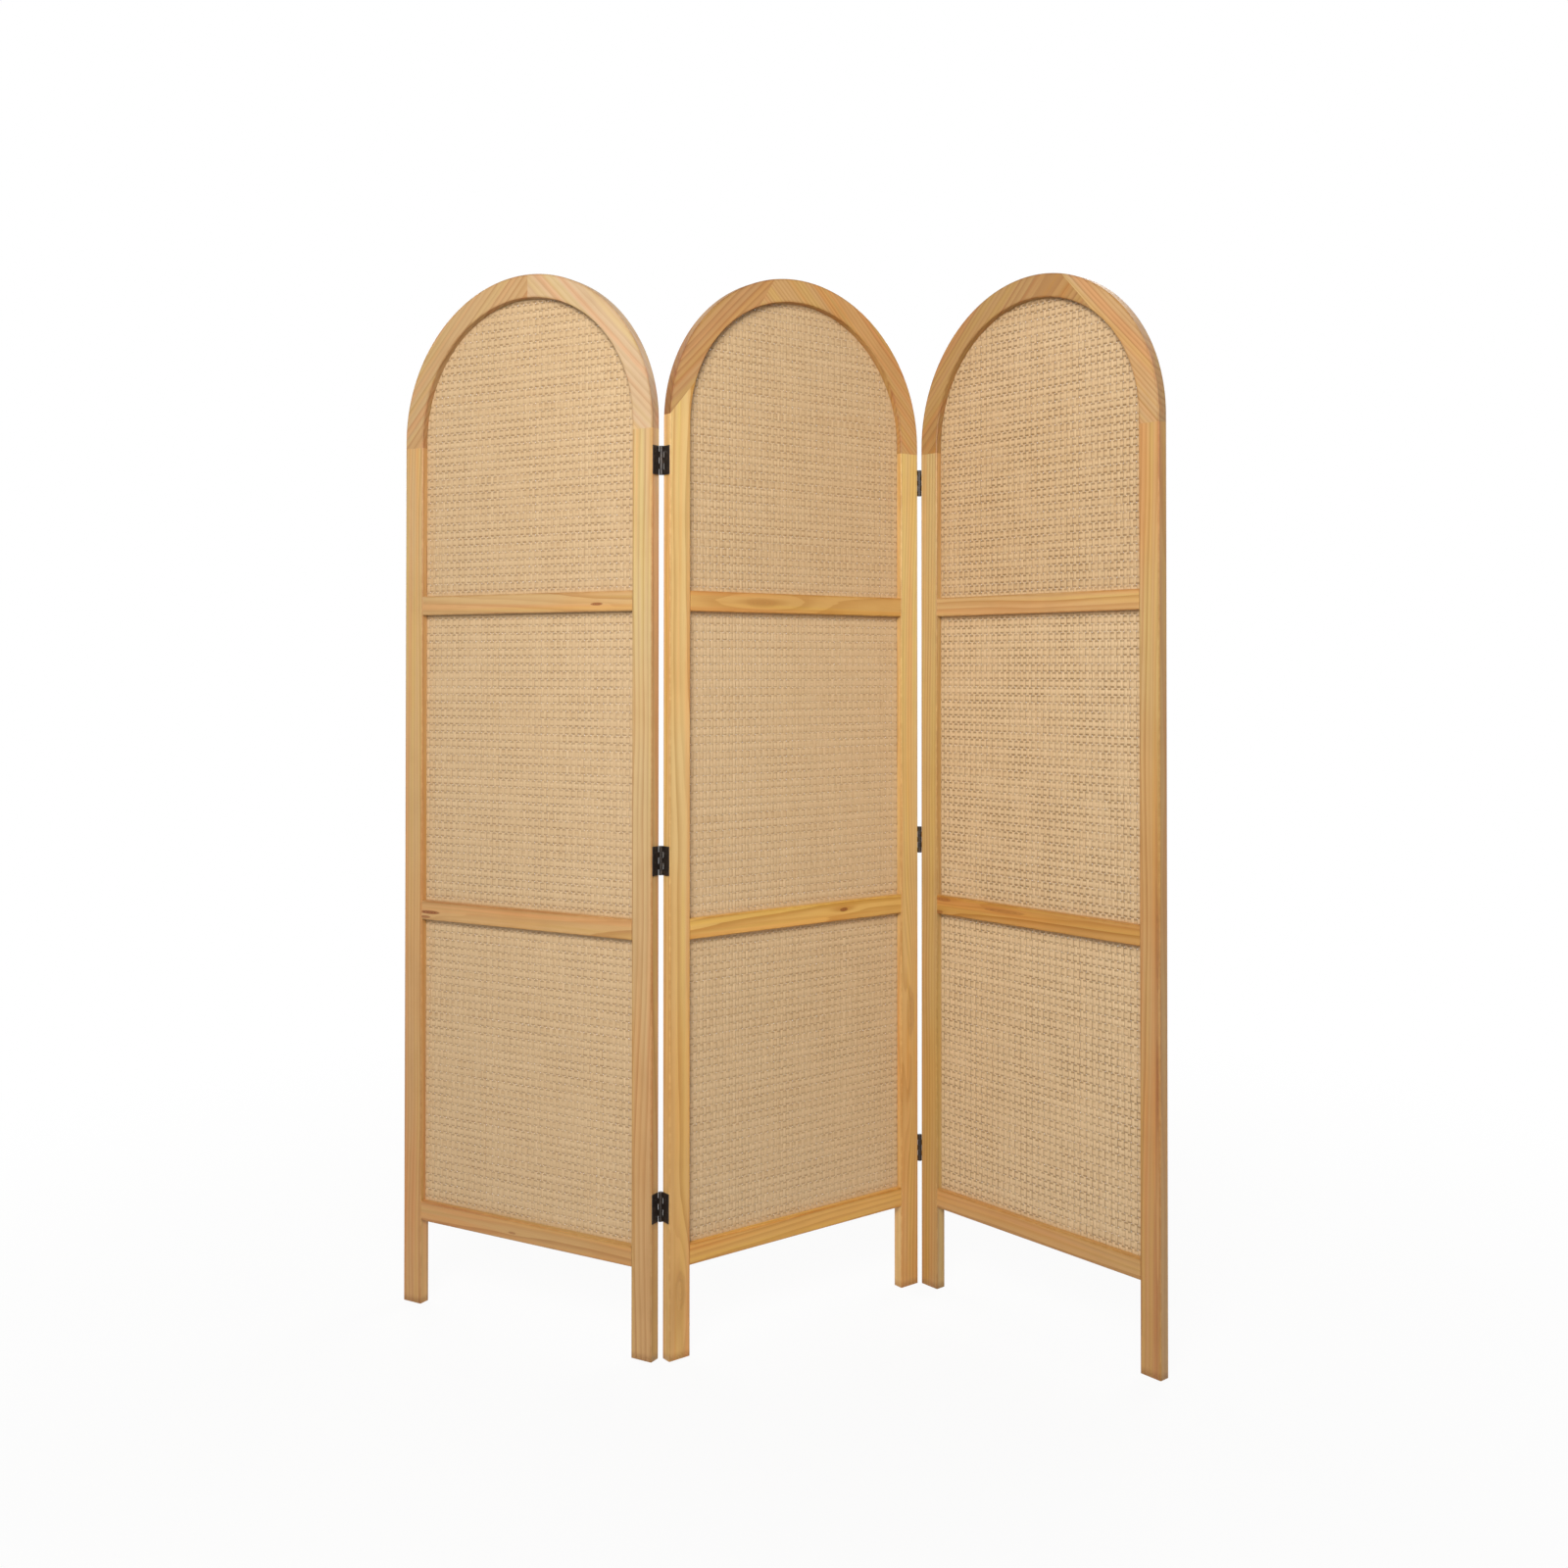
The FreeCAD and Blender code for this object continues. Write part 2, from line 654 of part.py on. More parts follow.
def make_leaf(name, knuckles, placement):
    """A hinge leaf: plate, evenly spaced knuckles bored for the pin, countersunk holes."""
    body = new_body(name)
    first = "hinge_foot" if knuckles == 3 else "second_knuckle"
    plate = new_sketch(body, name + "_plate_outline", "XY_Plane", ref("hinge_foot"))
    draw_outline(plate, box_corners("leaf_face", "barrel_radius", "leaf_start", "leaf_end"))
    arm = new_sketch(body, name + "_arm_outline", "XY_Plane", ref(first))
    draw_outline(arm, box_corners("leaf_face", "barrel_radius", None, "leaf_start"))
    ring = new_sketch(body, name + "_ring_outline", "XY_Plane", ref(first))
    bore = size("pin_diameter") / 2 + size("pin_play")
    draw_circle(ring, ref("barrel_radius"), size("barrel_radius"))
    draw_circle(ring, ref("pin_diameter") + " / 2 + " + ref("pin_play"), bore)
    lengths = ((plate, "hinge_height"), (arm, "knuckle_length"), (ring, "knuckle_length"))
    pads = []
    for sketch, length in lengths:
        pad = body.newObject("PartDesign::Pad", sketch.Name + "_pad")
        pad.Profile = sketch
        pad.setExpression("Length", ref(length))
        pads.append(pad)
    doc.recompute()
    row = body.newObject("PartDesign::LinearPattern", name + "_knuckles")
    row.Originals = pads[1:]
    row.Direction = (ring, ["N_Axis"])
    row.Occurrences = knuckles
    row.setExpression("Length", "%d * %s" % (2 * (knuckles - 1), ref("knuckle_pitch")))
    body.Tip = row
    for number, screw in enumerate(screw_placements()):
        sink = body.newObject("PartDesign::SubtractiveCone", "%s_sink_%d" % (name, number))
        bind(sink,
             Radius1=ref("screw_head") + " / 2 + " + ref("screw_play"),
             Radius2=ref("screw_shank") + " / 2 + " + ref("screw_play"),
             Height=ref("leaf_thickness"))
        sink.Placement = screw
    keep(name, body, placement)


def make_screws(panel, fold, side, back, placement):
    """The countersunk screws of one hinged edge."""
    screws = []
    through_leaf = moved(Z_AXIS * size("leaf_thickness"))
    stem = "%s_hinge_screws_%s" % (fold, panel)
    for level in HINGE_LEVELS:
        hinge = hinge_placement(side, back, level)
        for number, screw in enumerate(screw_placements()):
            name = "%s_%s_%d" % (stem, level, number)
            head = doc.addObject("Part::Cone", name + "_head")
            bind(head, Radius1=ref("screw_head") + " / 2", Radius2=ref("screw_shank") + " / 2",
                 Height=ref("leaf_thickness"))
            head.Placement = hinge * screw
            shank = cylinder(name + "_shank", ref("screw_shank") + " / 2", ref("screw_length"),
                             hinge * screw * through_leaf)
            screws.append(fuse(name, [head, shank]))
    keep(stem, group(stem, screws), placement)


def make_hinges(placements):
    """Leaves and screws on every hinged edge, and the pins on the centre panel."""
    for panel, fold, side, back in HINGED_EDGES:
        for level in HINGE_LEVELS:
            name = "%s_hinge_%s_leaf_%s" % (fold, level, panel)
            place = placements[panel] * hinge_placement(side, back, level)
            make_leaf(name, 3 if panel == "centre" else 2, place)
        make_screws(panel, fold, side, back, placements[panel])
    for panel, fold, side, back in HINGED_EDGES:
        if panel != "centre":
            continue
        pins = []
        for level in HINGE_LEVELS:
            foot = hinge_placement(side, back, level).Base + Z_AXIS * size("hinge_foot")
            name = "%s_hinge_pin_%s" % (fold, level)
            pins.append(cylinder(name, ref("pin_diameter") + " / 2", ref("hinge_height"), moved(foot)))
        name = fold + "_hinge_pins"
        keep(name, group(name, pins), placements[panel])


# ---------------------------------------------------------------- build and write

def check_document():
    """Stop if any object failed, or any piece has no sound shape."""
    for thing in doc.Objects:
        if {"Invalid", "Error"} & set(thing.State):
            raise RuntimeError("failed: " + thing.Label)
    for node in nodes:
        if node.Shape.isNull() or not node.Shape.isValid() or not node.Shape.Solids:
            raise RuntimeError("no sound shape: " + node.Label)


def main():
    fill_sheet()
    placements = stand_panels()
    blank = make_blank()
    beds = make_beds()
    for panel in PANELS:
        placement = placements[panel]
        bores = make_dowels(panel, placement)
        voids = fuse(panel + "_voids", beds + bores + make_pilots(panel))
        make_frame(panel, placement, blank, voids)
        make_rails(panel, placement, voids)
        make_webbing(panel, placement)
        make_beads(panel, placement)
    make_hinges(placements)
    doc.recompute()
    check_document()
    os.makedirs("parts", exist_ok=True)
    for node in nodes:
        node.Shape.exportStep("parts/%s.step" % node.Label)
    print("%d pieces written" % len(nodes))


main()
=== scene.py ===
"""Looks of the arched folding screen: pine frames, woven cane and black butt hinges."""

import logging
import math
from collections.abc import Iterable
from dataclasses import dataclass, field
from enum import Enum
from typing import Any

import bmesh
import bpy
from mathutils import Matrix, Vector


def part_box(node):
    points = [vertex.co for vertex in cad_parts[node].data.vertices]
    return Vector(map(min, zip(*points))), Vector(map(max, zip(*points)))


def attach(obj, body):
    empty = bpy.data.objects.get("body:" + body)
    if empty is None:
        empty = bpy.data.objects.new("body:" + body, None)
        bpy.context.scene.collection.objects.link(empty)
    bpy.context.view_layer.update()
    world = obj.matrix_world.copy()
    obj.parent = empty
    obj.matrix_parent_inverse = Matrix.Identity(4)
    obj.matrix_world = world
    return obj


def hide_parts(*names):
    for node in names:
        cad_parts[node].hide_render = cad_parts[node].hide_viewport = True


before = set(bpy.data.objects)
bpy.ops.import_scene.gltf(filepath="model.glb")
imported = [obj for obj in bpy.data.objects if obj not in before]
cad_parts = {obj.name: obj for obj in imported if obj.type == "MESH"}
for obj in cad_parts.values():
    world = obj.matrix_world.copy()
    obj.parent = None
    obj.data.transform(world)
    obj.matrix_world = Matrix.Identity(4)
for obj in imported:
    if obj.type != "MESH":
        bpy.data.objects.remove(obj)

log = logging.getLogger("folding_screen")

MM = 0.001


class Panel(Enum):
    """The three panels, which are the CAD model's bodies."""

    LEFT = "left"
    CENTRE = "centre"
    RIGHT = "right"

    @property
    def body(self) -> str:
        """Name of the body that the panel's pieces ride on."""
        return self.value + "_panel"


class Opening(Enum):
    """The three openings of a panel."""

    BOTTOM = "bottom"
    MIDDLE = "middle"
    TOP = "top"


class Run(Enum):
    """Which way a board's grain runs, in degrees leant from upright towards the right."""

    UPRIGHT = 0
    RISING = 45
    LEVEL = 90
    FALLING = -45


def shade(red: int, green: int, blue: int) -> tuple[float, float, float, float]:
    """Turn a display colour into the linear colour that a shader takes.

    Args:
        red: Red, 0 to 255.
        green: Green, 0 to 255.
        blue: Blue, 0 to 255.

    Returns:
        Linear red, green, blue and a full alpha.
    """
    def linear(level: float) -> float:
        """Undo the display curve for one channel."""
        return level / 12.92 if level <= 0.04045 else ((level + 0.055) / 1.055) ** 2.4

    return (linear(red / 255), linear(green / 255), linear(blue / 255), 1.0)


# ---------------------------------------------------------------- node trees


class Wiring:
    """Places nodes in one tree and joins their sockets."""

    def __init__(self, tree: bpy.types.NodeTree) -> None:
        """Start wiring a tree.

        Args:
            tree: The shader or geometry tree to build in.
        """
        self.tree = tree

    def feed(self, socket: bpy.types.NodeSocket, value: Any) -> None:
        """Give an input a value, or link it to an output.

        Args:
            socket: The input.
            value: A number, vector, colour, word, data block or output socket.
        """
        if isinstance(value, bpy.types.NodeSocket):
            self.tree.links.new(value, socket)
        else:
            socket.default_value = value

    def fill(self, node: bpy.types.Node, inputs: dict) -> None:
        """Feed several inputs of a node.

        Args:
            node: The node.
            inputs: What feeds its inputs, by socket name or number.
        """
        for key, value in inputs.items():
            self.feed(node.inputs[key], value)

    def add(self, kind: str, inputs: dict | None = None, **settings: Any) -> bpy.types.Node:
        """Add a node.

        Args:
            kind: Blender's name of the node type.
            inputs: What feeds its inputs, by socket name or number.
            **settings: Properties of the node itself.

        Returns:
            The new node.
        """
        node = self.tree.nodes.new(kind)
        for name, value in settings.items():
            setattr(node, name, value)
        self.fill(node, inputs or {})
        return node

    def math(self, operation: str, *values: Any, clamp: bool = False) -> bpy.types.NodeSocket:
        """Work out a number.

        Args:
            operation: Blender's name of the operation.
            *values: Up to three numbers or output sockets.
            clamp: Whether the result stays between 0 and 1.

        Returns:
            The result's socket.
        """
        inputs = dict(enumerate(values))
        return self.add("ShaderNodeMath", inputs, operation=operation, use_clamp=clamp).outputs[0]

    def vector(self, operation: str, first: Any, second: Any) -> bpy.types.NodeSocket:
        """Work out a vector.

        Args:
            operation: Blender's name of the operation.
            first: A vector or an output socket.
            second: A vector or an output socket.

        Returns:
            The result's socket.
        """
        node = self.add("ShaderNodeVectorMath", {0: first, 1: second}, operation=operation)
        return node.outputs[0]

    def parts(self, vector: Any) -> tuple[bpy.types.NodeSocket, ...]:
        """The x, y and z sockets of a vector."""
        node = self.add("ShaderNodeSeparateXYZ", {0: vector})
        return tuple(node.outputs)

    def joined(self, x: Any = 0.0, y: Any = 0.0, z: Any = 0.0) -> bpy.types.NodeSocket:
        """A vector put together from three numbers."""
        return self.add("ShaderNodeCombineXYZ", {0: x, 1: y, 2: z}).outputs[0]

    def ramp(self, value: Any, low: float, high: float, start: float = 0.0, end: float = 1.0,
             ) -> bpy.types.NodeSocket:
        """Map a number from one range to another with a smooth step.

        Args:
            value: The number's socket.
            low: Where the step begins.
            high: Where it ends.
            start: Result below the step.
            end: Result above it.

        Returns:
            The result's socket.
        """
        node = self.add("ShaderNodeMapRange", {0: value, 1: low, 2: high, 3: start, 4: end},
                        interpolation_type="SMOOTHSTEP")
        return node.outputs[0]

    def noise(self, vector: Any, scale: float = 1.0, detail: float = 2.0,
              roughness: float = 0.5) -> bpy.types.NodeSocket:
        """Smooth noise between 0 and 1.

        Args:
            vector: Where it is read.
            scale: Features in a metre.
            detail: How many finer layers are added.
            roughness: How strong the finer layers are.

        Returns:
            The noise value's socket.
        """
        node = self.add("ShaderNodeTexNoise", {"Vector": vector, "Scale": scale,
                                               "Detail": detail, "Roughness": roughness})
        return node.outputs[0]

    def streaks(self, vector: Any, scales: tuple[float, float, float],
                detail: float = 2.0) -> bpy.types.NodeSocket:
        """Smooth noise with its own number of features in a metre along each axis.

        Args:
            vector: Where it is read.
            scales: Features in a metre along x, y and z.
            detail: How many finer layers are added.

        Returns:
            The noise value's socket.
        """
        return self.noise(self.vector("MULTIPLY", vector, scales), detail=detail)

    def tint(self, factor: Any, first: Any, second: Any, how: str = "MIX") -> bpy.types.NodeSocket:
        """Mix two colours.

        Args:
            factor: Share of the second colour.
            first: A colour or an output socket.
            second: A colour or an output socket.
            how: Blender's name of the way of mixing.

        Returns:
            The mixed colour's socket.
        """
        node = self.add("ShaderNodeMix", {0: factor, 6: first, 7: second},
                        data_type="RGBA", blend_type=how)
        return node.outputs[2]

    def cast(self, colour: Any, by: Any) -> bpy.types.NodeSocket:
        """A colour multiplied by another."""
        return self.tint(1.0, colour, by, "MULTIPLY")

    def group(self, effect: bpy.types.NodeTree, inputs: dict) -> bpy.types.NodeOutputs:
        """Place a shader group.

        Args:
            effect: The group.
            inputs: What feeds its inputs, by name.

        Returns:
            The sockets of its outputs.
        """
        return self.add("ShaderNodeGroup", inputs, node_tree=effect).outputs

    def seen(self) -> bpy.types.NodeSocket:
        """Tell rays from the eye, a mirror or clear glass from the rest.

        Returns:
            The socket of a number that is 1 for them.
        """
        rays = self.add("ShaderNodeLightPath").outputs
        sharp = self.math("MAXIMUM", rays["Is Camera Ray"], rays["Is Glossy Ray"])
        return self.math("MAXIMUM", sharp, rays["Is Transmission Ray"])


SOCKETS = {"number": "NodeSocketFloat", "vector": "NodeSocketVector", "colour": "NodeSocketColor",
           "count": "NodeSocketInt", "shape": "NodeSocketGeometry",
           "material": "NodeSocketMaterial", "object": "NodeSocketObject"}


def new_tree(name: str, kind: str, takes: dict[str, str], gives: dict[str, str],
             ) -> tuple[Wiring, bpy.types.NodeOutputs, bpy.types.Node]:
    """Make a node group with named inputs and outputs.

    Args:
        name: The group's name.
        kind: "ShaderNodeTree" or "GeometryNodeTree".
        takes: Kind of each input, by name.
        gives: Kind of each output, by name.

    Returns:
        The wiring of its tree, the sockets of its inputs, and its output node.
    """
    tree = bpy.data.node_groups.new(name, kind)
    for label, what in takes.items():
        tree.interface.new_socket(name=label, in_out="INPUT", socket_type=SOCKETS[what])
    for label, what in gives.items():
        tree.interface.new_socket(name=label, in_out="OUTPUT", socket_type=SOCKETS[what])
    wiring = Wiring(tree)
    return wiring, wiring.add("NodeGroupInput").outputs, wiring.add("NodeGroupOutput")


# ---------------------------------------------------------------- shared effects

# Where a mask fades in, from inside a board's side or back outwards, in metres.
CORNER_FADE = (-4.5 * MM, -0.4 * MM)
SIDE_FADE = (-1.3 * MM, -0.7 * MM)
# Where the darkening of the feet fades out, in metres above the floor.
FOOT_DARKENING_FADE = (2.0 * MM, 14.0 * MM)


def pine_grain_group() -> bpy.types.NodeTree:
    """Growth rings of a pine board, read in the board's own frame with z along the grain.

    Returns:
        The group, which puts out a colour, a roughness and a height.
    """
    takes = {"Vector": "vector", "Pith": "vector", "Ring Width": "number", "Wave": "number",
             "Swell": "number", "Seed": "number", "Early": "colour", "Late": "colour",
             "Strength": "number"}
    gives = {"Color": "colour", "Roughness": "number", "Height": "number"}
    w, given, out = new_tree("pine_grain", "ShaderNodeTree", takes, gives)
    offset = w.vector("MULTIPLY", w.joined(given["Seed"], given["Seed"], given["Seed"]),
                      (1.37, 2.11, 0.73))
    place = w.vector("ADD", given["Vector"], offset)
    # The log isn't round or straight, so its rings wander slowly across the board.
    slow = w.vector("MULTIPLY", place, (7.0, 7.0, 1.6))
    wander = w.add("ShaderNodeTexNoise", {"Vector": slow, "Scale": 1.0, "Detail": 1.5})
    drift = w.vector("SUBTRACT", wander.outputs["Color"], (0.5, 0.5, 0.5))
    drift = w.vector("MULTIPLY", drift, w.joined(given["Wave"], given["Wave"], 0.0))
    from_pith = w.vector("SUBTRACT", w.vector("ADD", given["Vector"], drift), given["Pith"])
    x, y, _ = w.parts(from_pith)
    radius = w.math("SQRT", w.math("ADD", w.math("MULTIPLY", x, x), w.math("MULTIPLY", y, y)))
    radius = w.math("ADD", radius, given["Swell"])
    ripple = w.streaks(place, (260.0, 260.0, 9.0), 1.0)
    rings = w.math("DIVIDE", radius, given["Ring Width"])
    rings = w.math("MULTIPLY_ADD", w.math("SUBTRACT", ripple, 0.5), 0.22, rings)
    # Latewood darkens slowly through a ring and ends sharply where the next spring begins.
    part = w.math("FRACT", rings)
    number = w.math("ADD", w.math("FLOOR", rings), given["Seed"])
    year = w.add("ShaderNodeTexWhiteNoise", {"W": number}, noise_dimensions="1D").outputs[0]
    late = w.math("MULTIPLY", w.ramp(part, 0.30, 0.93), w.ramp(part, 0.95, 1.0, 1.0, 0.0))
    late = w.math("MULTIPLY", late, w.math("MULTIPLY_ADD", year, 0.75, 0.4))
    late = w.math("MULTIPLY", late, given["Strength"], clamp=True)
    fibre = w.streaks(place, (1500.0, 1500.0, 22.0))
    streak = w.streaks(place, (140.0, 140.0, 2.2))
    cloud = w.streaks(place, (14.0, 14.0, 3.0))
    colour = w.tint(late, given["Early"], given["Late"])
    colour = w.tint(w.ramp(streak, 0.50, 0.80, 0.0, 0.34), colour, given["Late"])
    warm = w.cast(colour, (1.03, 0.93, 0.80, 1.0))
    colour = w.tint(w.ramp(cloud, 0.42, 0.68, 0.0, 0.7), colour, warm)
    # Long streaks of a rosy or a yellow cast run through the board.
    for shift, cast in ((3.0, (1.05, 0.90, 0.84, 1.0)), (8.0, (1.02, 1.06, 0.88, 1.0))):
        long = w.streaks(w.vector("ADD", place, (shift, shift, 0.0)), (70.0, 70.0, 1.3), 1.5)
        colour = w.tint(w.ramp(long, 0.48, 0.66, 0.0, 0.85), colour, w.cast(colour, cast))
    dark = w.cast(colour, (0.84, 0.79, 0.72, 1.0))
    colour = w.tint(w.ramp(fibre, 0.50, 0.78, 0.0, 0.5), colour, dark)
    rough = w.math("MULTIPLY_ADD", fibre, 0.14, 0.36)
    rough = w.math("MULTIPLY_ADD", late, -0.06, rough)
    height = w.math("MULTIPLY_ADD", late, 0.6, w.math("MULTIPLY", fibre, 0.5))
    w.fill(out, {"Color": colour, "Roughness": rough, "Height": height})
    return w.tree


def pine_knot_group() -> bpy.types.NodeTree:
    """One knot in a board: how it swells the rings round it, and its own dark rings.

    Returns:
        The group. It adds the knot's bump to a swell, and puts out masks of the knot's
        core and of the rings in it.
    """
    takes = {"Vector": "vector", "Centre": "vector", "Radius": "number", "Stretch": "number",
             "Swell": "number"}
    gives = {"Swell": "number", "Mask": "number", "Rings": "number"}
    w, given, out = new_tree("pine_knot", "ShaderNodeTree", takes, gives)
    away = w.vector("SUBTRACT", given["Vector"], given["Centre"])
    x, y, z = w.parts(away)
    along = w.math("DIVIDE", z, given["Stretch"])
    spread = w.math("MULTIPLY", along, 0.5)
    squares = w.math("MULTIPLY", x, x)
    near = w.math("SQRT", w.math("MULTIPLY_ADD", along, along, squares))
    wide = w.math("SQRT", w.math("MULTIPLY_ADD", spread, spread, squares))
    ragged = w.noise(w.joined(x, y, along), 260.0)
    near = w.math("DIVIDE", near, given["Radius"])
    near = w.math("MULTIPLY_ADD", w.math("SUBTRACT", ragged, 0.5), 0.45, near)
    wide = w.math("DIVIDE", wide, w.math("MULTIPLY", given["Radius"], 1.7))
    bump = w.math("EXPONENT", w.math("MULTIPLY", w.math("MULTIPLY", wide, wide), -1.0))
    swell = w.math("MULTIPLY", bump, w.math("MULTIPLY", given["Radius"], 1.5))
    rings = w.math("FRACT", w.math("MULTIPLY", near, 3.2))
    w.fill(out, {"Swell": w.math("ADD", given["Swell"], swell),
                 "Mask": w.ramp(near, 0.70, 1.15, 1.0, 0.0), "Rings": w.ramp(rings, 0.2, 0.9)})
    return w.tree


def board_edges_group() -> bpy.types.NodeTree:
    """Where a board's corners and sides are, and where a curved cut opens its end grain on the
    sides that also take painted shade.

    Returns:
        The group. Its masks are 1 on the corners, on the board's two sides, and on
        sides cut across the grain.
    """
    takes = {"Vector": "vector", "Bend": "number", "Half Width": "number",
             "Half Depth": "number"}
    gives = {"Corner": "number", "Side": "number", "Cut": "number"}
    w, given, out = new_tree("board_edges", "ShaderNodeTree", takes, gives)
    x, y, z = w.parts(given["Vector"])
    from_centre = w.math("SUBTRACT", x, given["Bend"])
    reach = w.math("SQRT", w.math("ADD", w.math("MULTIPLY", from_centre, from_centre),
                                  w.math("MULTIPLY", z, z)))
    bent = w.math("SUBTRACT", reach, w.math("ABSOLUTE", given["Bend"]))
    curved = w.math("GREATER_THAN", w.math("ABSOLUTE", given["Bend"]), 0.001)
    across = w.math("MULTIPLY", w.math("SUBTRACT", bent, x), curved)
    across = w.math("ABSOLUTE", w.math("ADD", across, x))
    beside = w.math("SUBTRACT", across, given["Half Width"])
    behind = w.math("SUBTRACT", w.math("ABSOLUTE", y), given["Half Depth"])
    uneven = w.noise(given["Vector"], 90.0, 2.0, 0.6)
    corner = w.math("MULTIPLY", w.ramp(beside, *CORNER_FADE), w.ramp(behind, *CORNER_FADE))
    corner = w.math("MULTIPLY", corner, w.ramp(uneven, 0.3, 0.6, 0.5, 1.0))
    side = w.ramp(beside, *SIDE_FADE)
    steep = w.math("DIVIDE", w.math("ABSOLUTE", z), w.math("MAXIMUM", reach, 0.001))
    cut = w.math("MULTIPLY", w.math("MULTIPLY", side, curved),
                 w.math("MULTIPLY_ADD", steep, 0.55, 0.5), clamp=True)
    w.fill(out, {"Corner": corner, "Side": side, "Cut": cut})
    return w.tree


def handling_group() -> bpy.types.NodeTree:
    """Faint uneven darkening that handling and dust leave, and darker feet just above the floor.

    Returns:
        The group, which changes a colour and a roughness. Its vector is in metres, with
        z up from the floor.
    """
    takes = {"Vector": "vector", "Color": "colour", "Roughness": "number", "Amount": "number"}
    gives = {"Color": "colour", "Roughness": "number"}
    w, given, out = new_tree("handling", "ShaderNodeTree", takes, gives)
    patches = w.noise(given["Vector"], 9.0, 3.0, 0.6)
    specks = w.noise(given["Vector"], 420.0, 2.0, 0.5)
    mask = w.math("MULTIPLY", w.ramp(patches, 0.45, 0.75), given["Amount"])
    # The feet are darker just above the floor.
    height = w.parts(given["Vector"])[2]
    near_floor = w.math("MULTIPLY", w.ramp(height, *FOOT_DARKENING_FADE, 1.0, 0.0),
                    w.ramp(specks, 0.3, 0.6, 0.5, 1.0))
    grubby = w.cast(given["Color"], (0.90, 0.87, 0.83, 1.0))
    darker_feet = w.cast(given["Color"], (0.66, 0.58, 0.50, 1.0))
    colour = w.tint(near_floor, w.tint(mask, given["Color"], grubby), darker_feet)
    dots = w.math("MULTIPLY", w.ramp(specks, 0.66, 0.74), given["Amount"])
    w.fill(out, {"Color": w.tint(w.math("MULTIPLY", dots, 0.35), colour, grubby),
                 "Roughness": w.math("MULTIPLY_ADD", mask, 0.08, given["Roughness"])})
    return w.tree


def cane_fibre_group() -> bpy.types.NodeTree:
    """Fibres, patches and dark edges of split cane, the edges partly the cane's own colour and
    partly painted shade between the bands, read in the strand's own frame.

    Returns:
        The group, which puts out a colour, a roughness and a height.
    """
    takes = {"Vector": "vector", "Tone": "number", "Rim": "number", "Shade": "number",
             "Pale": "colour", "Deep": "colour", "Edge": "colour"}
    gives = {"Color": "colour", "Roughness": "number", "Height": "number"}
    w, given, out = new_tree("cane_fibre", "ShaderNodeTree", takes, gives)
    shifted = w.vector("ADD", given["Vector"], w.joined(0.0, 0.0, given["Tone"]))
    fine = w.streaks(shifted, (2600.0, 2600.0, 60.0), 1.0)
    broad = w.streaks(shifted, (90.0, 90.0, 16.0))
    patch = w.streaks(shifted, (9.0, 9.0, 6.0))
    share = w.math("MULTIPLY", w.ramp(fine, 0.35, 0.75), 0.38)
    share = w.math("MULTIPLY_ADD", w.ramp(broad, 0.40, 0.75), 0.34, share)
    share = w.math("MULTIPLY_ADD", w.math("FRACT", w.math("MULTIPLY", given["Tone"], 7.3)),
                   0.22, share)
    share = w.math("MULTIPLY_ADD", w.ramp(patch, 0.35, 0.70), 0.12, share)
    # Each sheet's painted shade pulls its canes towards the deep colour.
    share = w.math("ADD", share, given["Shade"], clamp=True)
    colour = w.tint(share, given["Pale"], given["Deep"])
    uneven = w.streaks(given["Vector"], (24.0, 24.0, 24.0))
    # Darker edges: partly the cane's own colour, partly painted shade between the bands.
    rim = w.math("MULTIPLY", w.ramp(given["Rim"], 0.45, 1.0), w.ramp(uneven, 0.3, 0.65, 0.45, 1.0))
    w.fill(out, {"Color": w.tint(rim, colour, w.cast(colour, given["Edge"])),
                 "Roughness": w.math("MULTIPLY_ADD", fine, 0.16, 0.46), "Height": fine})
    return w.tree


@dataclass(frozen=True)
class Effects:
    """The shader groups that several finishes share."""

    grain: bpy.types.NodeTree = field(default_factory=pine_grain_group)
    knot: bpy.types.NodeTree = field(default_factory=pine_knot_group)
    edges: bpy.types.NodeTree = field(default_factory=board_edges_group)
    handling: bpy.types.NodeTree = field(default_factory=handling_group)
    cane: bpy.types.NodeTree = field(default_factory=cane_fibre_group)


# ---------------------------------------------------------------- finishes


def new_material(name: str) -> tuple[bpy.types.Material, Wiring, bpy.types.Node]:
    """An empty material with its Principled shader.

    Args:
        name: The material's name.

    Returns:
        The material, its wiring and its shader node.
    """
    material = bpy.data.materials.new(name)
    material.use_nodes = True
    return material, Wiring(material.node_tree), material.node_tree.nodes["Principled BSDF"]


@dataclass(frozen=True)
class Knot:
    """A knot on a board's face, in metres in the board's own frame.

    Attributes:
        across: Along the board's x axis.
        along: Along the grain.
        radius: Half the core's width.
        stretch: The core's length as a multiple of its width. A long, faint core is a streak.
        dark: How dark the core is, from 0 to 1.
    """

    across: float
    along: float
    radius: float
    stretch: float = 1.6
    dark: float = 1.0


KNOT_RING = shade(158, 96, 46)
KNOT_HEART = shade(104, 56, 26)


